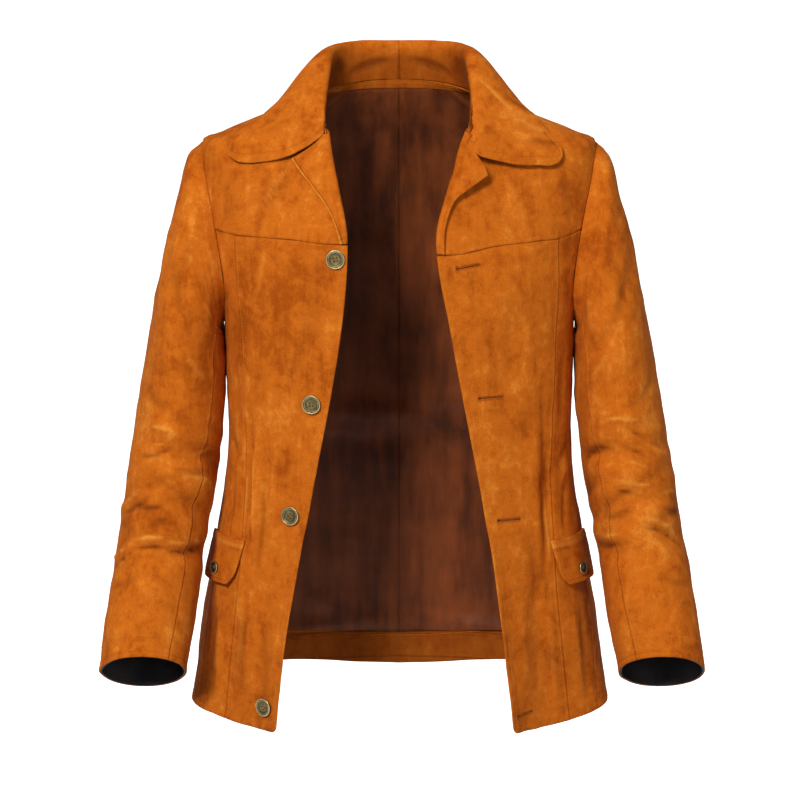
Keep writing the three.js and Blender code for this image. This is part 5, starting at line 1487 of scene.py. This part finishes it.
# Buttons: a turned disc with a rolled rim, a ring and a dish with four holes
BUTTON_PROFILE = table(
    "r z wear shade",
    (0, 0.0, 0, 0), (0.55, 0.0, 0, 0), (0.8, 0.25, 0, 0), (0.93, 0.9, 0.2, 0), (0.99, 1.7, 0.8, 0),
    (1.0, 2.4, 1, 0), (0.985, 2.95, 1, 0), (0.95, 3.3, 1, 0), (0.9, 3.4, 1, 0), (0.86, 3.3, 0.7, 0),
    (0.83, 3.05, 0.1, 0.5), (0.81, 2.85, 0, 0.7), (0.785, 2.9, 0.3, 0.2), (0.75, 2.98, 0.55, 0),
    (0.70, 2.9, 0.35, 0), (0.66, 2.7, 0.1, 0.4), (0.6, 2.42, 0, 0.3), (0.5, 2.2, 0.15, 0.1),
    (0.35, 2.08, 0.25, 0), (0.15, 2.04, 0.25, 0), (0, 2.03, 0.25, 0))
BUTTON_SIDES = 56
HOLE_OUT = 2.3
HOLE_RADIUS = 1.0


def turned_disc(name, radius, thick, sides, profile, material):
    """Disc turned from a profile, whose first and last rows are on the axis"""
    angles = np.linspace(0, 2 * np.pi, sides, endpoint=False)
    rings = len(profile["r"]) - 2
    r = profile["r"][1:-1, None] * radius
    z = np.repeat(profile["z"][1:-1, None] * thick, sides, axis=1)
    ring = points(r * np.cos(angles), r * np.sin(angles), z).reshape(-1, 3)
    ends = np.array([[0, 0, profile["z"][0] * thick], [0, 0, profile["z"][-1] * thick]])
    index = np.arange(rings * sides).reshape(rings, sides)
    turned = np.roll(index, -1, axis=1)
    faces = np.stack([index[:-1], turned[:-1], turned[1:], index[1:]], axis=-1).reshape(-1, 4).tolist()
    bottom, top = rings * sides, rings * sides + 1
    faces += [(bottom, int(b), int(a)) for a, b in zip(index[0], turned[0])]
    faces += [(top, int(a), int(b)) for a, b in zip(index[-1], turned[-1])]
    values = {key: np.concatenate([np.repeat(profile[key][1:-1], sides), profile[key][[0, -1]]])
              for key in ("wear", "shade")}
    return mesh_object(name, np.concatenate([ring, ends]), faces, material, values, sharp=40)


def button_mesh(name, radius, thick):
    disc = turned_disc(name, radius, thick, BUTTON_SIDES, BUTTON_PROFILE, BRASS)
    scale = radius / FRONT_BUTTON_RADIUS
    for i in range(4):
        angle = math.radians(45 + 90 * i)
        straight = table("r z wear shade", (0, -2, 0, 1), (1, -2, 0, 1), (1, 6, 0, 1), (0, 6, 0, 1))
        drill = turned_disc("button_drill", HOLE_RADIUS * scale, 1, 14, straight, BRASS)
        drill.data.transform(Matrix.Translation(
            Vector((math.cos(angle), math.sin(angle), 0)) * HOLE_OUT * scale * MM))
        modifier = disc.modifiers.new("hole", "BOOLEAN")
        modifier.operation = "DIFFERENCE"
        modifier.solver = "EXACT"
        modifier.object = drill
        cut = bpy.data.meshes.new_from_object(disc.evaluated_get(bpy.context.evaluated_depsgraph_get()))
        disc.modifiers.remove(modifier)
        disc.data = cut
        bpy.data.objects.remove(drill)
    mesh = disc.data
    bpy.data.objects.remove(disc)
    return mesh


def button_place(t, level, lift, spin):
    """Matrix of a button on the cloth"""
    t, level = np.array(float(t)), np.array(float(level))
    _, _, normal = body_frame(t, level)
    height = fold_height(BODY_FOLDS, t, level, RING_LENGTH, 1)
    spot = body_form(t, level) + normal * (height + lift)
    turn = Vector((0, 0, 1)).rotation_difference(Vector(normal)).to_matrix().to_4x4()
    return Matrix.Translation(Vector(spot) * MM) @ turn @ Matrix.Rotation(math.radians(spin), 4, "Z")


buttons = {}
button_seats = []
front_button = button_mesh("front_button", FRONT_BUTTON_RADIUS, 1.0)
flap_button = button_mesh("flap_button", FLAP_BUTTON_RADIUS, 2.8 / 3.4)
for i, (t, level, spin) in enumerate(zip(BUTTONS["t"], BUTTONS["level"], (8, -14, 30, 12))):
    buttons[f"button_{i + 1}"] = (front_button, button_place(t, level, BUTTON_LIFT, spin), 1.0)
flap_lift = float(along(FLAP_ROWS, "down", "lift", FLAP_BUTTON_DOWN)) + FLAP_THICK + BUTTON_LIFT
for word, side, spin in (("right", -1, 20), ("left", 1, -10)):
    seat = button_place(side * FLAP_BUTTON_T, FLAP_LEVEL + FLAP_BUTTON_DOWN, flap_lift, spin)
    buttons[f"flap_button_{word}"] = (flap_button, seat, FLAP_BUTTON_RADIUS / FRONT_BUTTON_RADIUS)


def thread_lines(seat, scale):
    """Threads through a button's holes and round its shank, in millimetres"""
    lines = []
    turn = np.array(seat.to_3x3())
    origin = np.array(seat.translation) / MM
    for pair in ((45, 135), (225, 315)):
        ends = [np.array([math.cos(math.radians(a)), math.sin(math.radians(a)), 0]) * HOLE_OUT * scale for a in pair]
        for offset in (-0.36, 0.0, 0.36):
            path = []
            for f in np.linspace(0, 1, 7):
                local = mix(ends[0], ends[1], f) + [0, offset * scale, 0]
                local[2] = (1.5 + 0.95 * math.sin(math.pi * f)) * (1.0 if scale == 1 else 0.8)
                path.append(turn @ local + origin)
            lines.append(np.array(path))
    for level in (-0.5, -0.15, 0.2):
        angles = np.linspace(0, 2 * math.pi, 15)
        ring = np.stack([2.1 * scale * np.cos(angles), 2.1 * scale * np.sin(angles), 0 * angles + level], axis=-1)
        lines.append(ring @ turn.T + origin)
    return lines


def thread_object(name, lines, radius, material):
    """Fine round threads along lines"""
    curve = bpy.data.curves.new(name, "CURVE")
    curve.dimensions = "3D"
    curve.bevel_depth = radius * MM
    curve.bevel_resolution = 1
    curve.use_fill_caps = True
    for line in lines:
        spline = curve.splines.new("POLY")
        spline.points.add(len(line) - 1)
        spline.points.foreach_set("co", np.concatenate([line * MM, np.ones((len(line), 1))], axis=1).ravel())
    holder = bpy.data.objects.new(name, curve)
    bpy.context.scene.collection.objects.link(holder)
    mesh = bpy.data.meshes.new_from_object(holder.evaluated_get(bpy.context.evaluated_depsgraph_get()))
    bpy.data.objects.remove(holder)
    mesh.materials.clear()
    mesh.materials.append(material)
    mesh.shade_smooth()
    made = bpy.data.objects.new(name, mesh)
    bpy.context.scene.collection.objects.link(made)
    return made


threads = []
for node, (mesh, seat, scale) in buttons.items():
    copy = mesh.copy()
    copy.transform(seat)
    made = bpy.data.objects.new(f"{node}_brass", copy)
    bpy.context.scene.collection.objects.link(made)
    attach(made, "root")
    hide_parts(node)
    threads += thread_lines(seat, scale)
button_threads = thread_object("button_threads", threads, 0.26, BUTTON_THREAD)

# Topstitching
lines = []
for word, side in (("right", -1), ("left", 1)):
    lines.append(grid_line(pieces[f"front_yoke_{word}"], 0, -1 - SEWN))
    lines.append(grid_line(pieces[f"front_panel_{word}"], 1, SEWN, start=4, end=-2))
    lines.append(grid_line(pieces[f"front_panel_{word}"], 1, -1 - TURNED, start=2, end=-TURNED - 1))
    lines.append(grid_line(pieces[f"front_panel_{word}"], 0, -1 - TURNED, start=2, end=-TURNED - 1))
    lines.append(grid_line(pieces[f"side_panel_{word}"], 0, -1 - TURNED, start=1, end=-1))
    lines.append(grid_line(pieces[f"collar_{word}"], 1, -1 - TURNED, start=2, end=-TURNED - 1))
    lines.append(grid_line(pieces[f"collar_{word}"], 0, -1 - TURNED, start=30, end=-TURNED - 1))
    lines.append(grid_line(pieces[f"lapel_{word}"], 1, -1 - TURNED, start=3, end=-TURNED - 1))
    lines.append(grid_line(pieces[f"top_sleeve_{word}"], 1, -1 - SEWN, start=4, end=-2))
    lines.append(grid_line(pieces[f"top_sleeve_{word}"], 0, -1 - 14, start=1, end=-1))
    lines.append(grid_line(pieces[f"under_sleeve_{word}"], 0, -1 - 14, start=1, end=-1))
    flap = pieces[f"pocket_flap_{word}"]
    lines.append(grid_line(flap, 0, step_index(2.4), start=2, end=-2))
    lines.append(grid_line(flap, 0, step_index(9.2), start=2, end=-2))
    lines.append(grid_line(flap, 0, -1 - TURNED, start=TURNED, end=-TURNED - 1))
    lines.append(grid_line(flap, 1, TURNED, start=step_index(9.2), end=-TURNED))
    lines.append(grid_line(flap, 1, -1 - TURNED, start=step_index(9.2), end=-TURNED))
lines.append(grid_line(pieces["back"], 0, -1 - TURNED, start=1, end=-1))
lines.append(grid_line(pieces["hem_facing"], 0, SEWN, start=1, end=-1))
lines.append(grid_line(pieces["neck_band"], 0, 3, start=1, end=-1))
topstitching = stitches("topstitching", lines, 3.3, 2.5, 0.55, 5, THREAD)
hole_lines = buttonhole_lines(cloth["front_panel_left"])
hole_stitches = stitches("buttonhole_stitches", hole_lines, 5.0, 1.9, 0.42, 6, DARK_THREAD)
for sewn in (topstitching, hole_stitches, button_threads):
    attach(sewn, "root")

for node, made in cloth.items():
    kind, word = split_name(node)
    slot, wide, long, share, rests = CUTS[kind]
    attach(made, "root")
    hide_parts(node)
    wide, long, area = flat_size(pieces[node])

# Camera, floor and light
camera = bpy.data.objects.new("camera", bpy.data.cameras.new("camera"))
camera.location = (0.0012, -3.0, 0.30)
camera.rotation_euler = (math.radians(90 - 12.4), 0, 0)
camera.data.lens = 116.4
camera.data.sensor_width = 36
bpy.context.scene.collection.objects.link(camera)
bpy.context.scene.camera = camera

floor_finish = Finish("floor", 0.9, Specular_IOR_Level=0.1, Emission_Color=(1, 1, 1, 1), Emission_Strength=1.0)
floor_finish.finish((0.9, 0.9, 0.9))
FLOOR_HALF = 60000
FLOOR_LEVEL = -1450
corners = [(-1, -1), (1, -1), (1, 1), (-1, 1)]
floor = mesh_object(
    "floor", np.array([(x * FLOOR_HALF, y * FLOOR_HALF, FLOOR_LEVEL) for x, y in corners], float),
    [(0, 1, 2, 3)], floor_finish.material)
floor.visible_diffuse = False


def soft_light(name, place, target, wide, power):
    data = bpy.data.lights.new(name, "AREA")
    data.shape = "SQUARE"
    data.size = wide
    data.energy = power
    light = bpy.data.objects.new(name, data)
    light.location = place
    light.rotation_euler = (Vector(target) - Vector(place)).to_track_quat("-Z", "Y").to_euler()
    bpy.context.scene.collection.objects.link(light)


soft_light("key", (-1.9, -4.3, 2.9), (0, 0, -0.45), 1.1, 290)
soft_light("fill", (2.2, -3.0, 0.2), (0, 0, -0.5), 1.8, 20)
soft_light("top", (0, 1.2, 2.4), (0, 0, -0.2), 1.6, 8)
world = bpy.data.worlds.new("studio")
world.use_nodes = True
around = Nodes(world.node_tree)
soft = around.node("ShaderNodeBackground", None, {"Color": (1, 1, 1, 1), "Strength": 0.31})
pale = around.node("ShaderNodeBackground", None, {"Color": (1, 1, 1, 1), "Strength": 1.0})
seen = around.node("ShaderNodeLightPath", output="Is Camera Ray")
sky = around.node("ShaderNodeMixShader", None, {0: seen, 1: soft, 2: pale})
around.join(world.node_tree.nodes["World Output"].inputs["Surface"], sky)
bpy.context.scene.world = world
bpy.context.scene.view_settings.view_transform = "Standard"
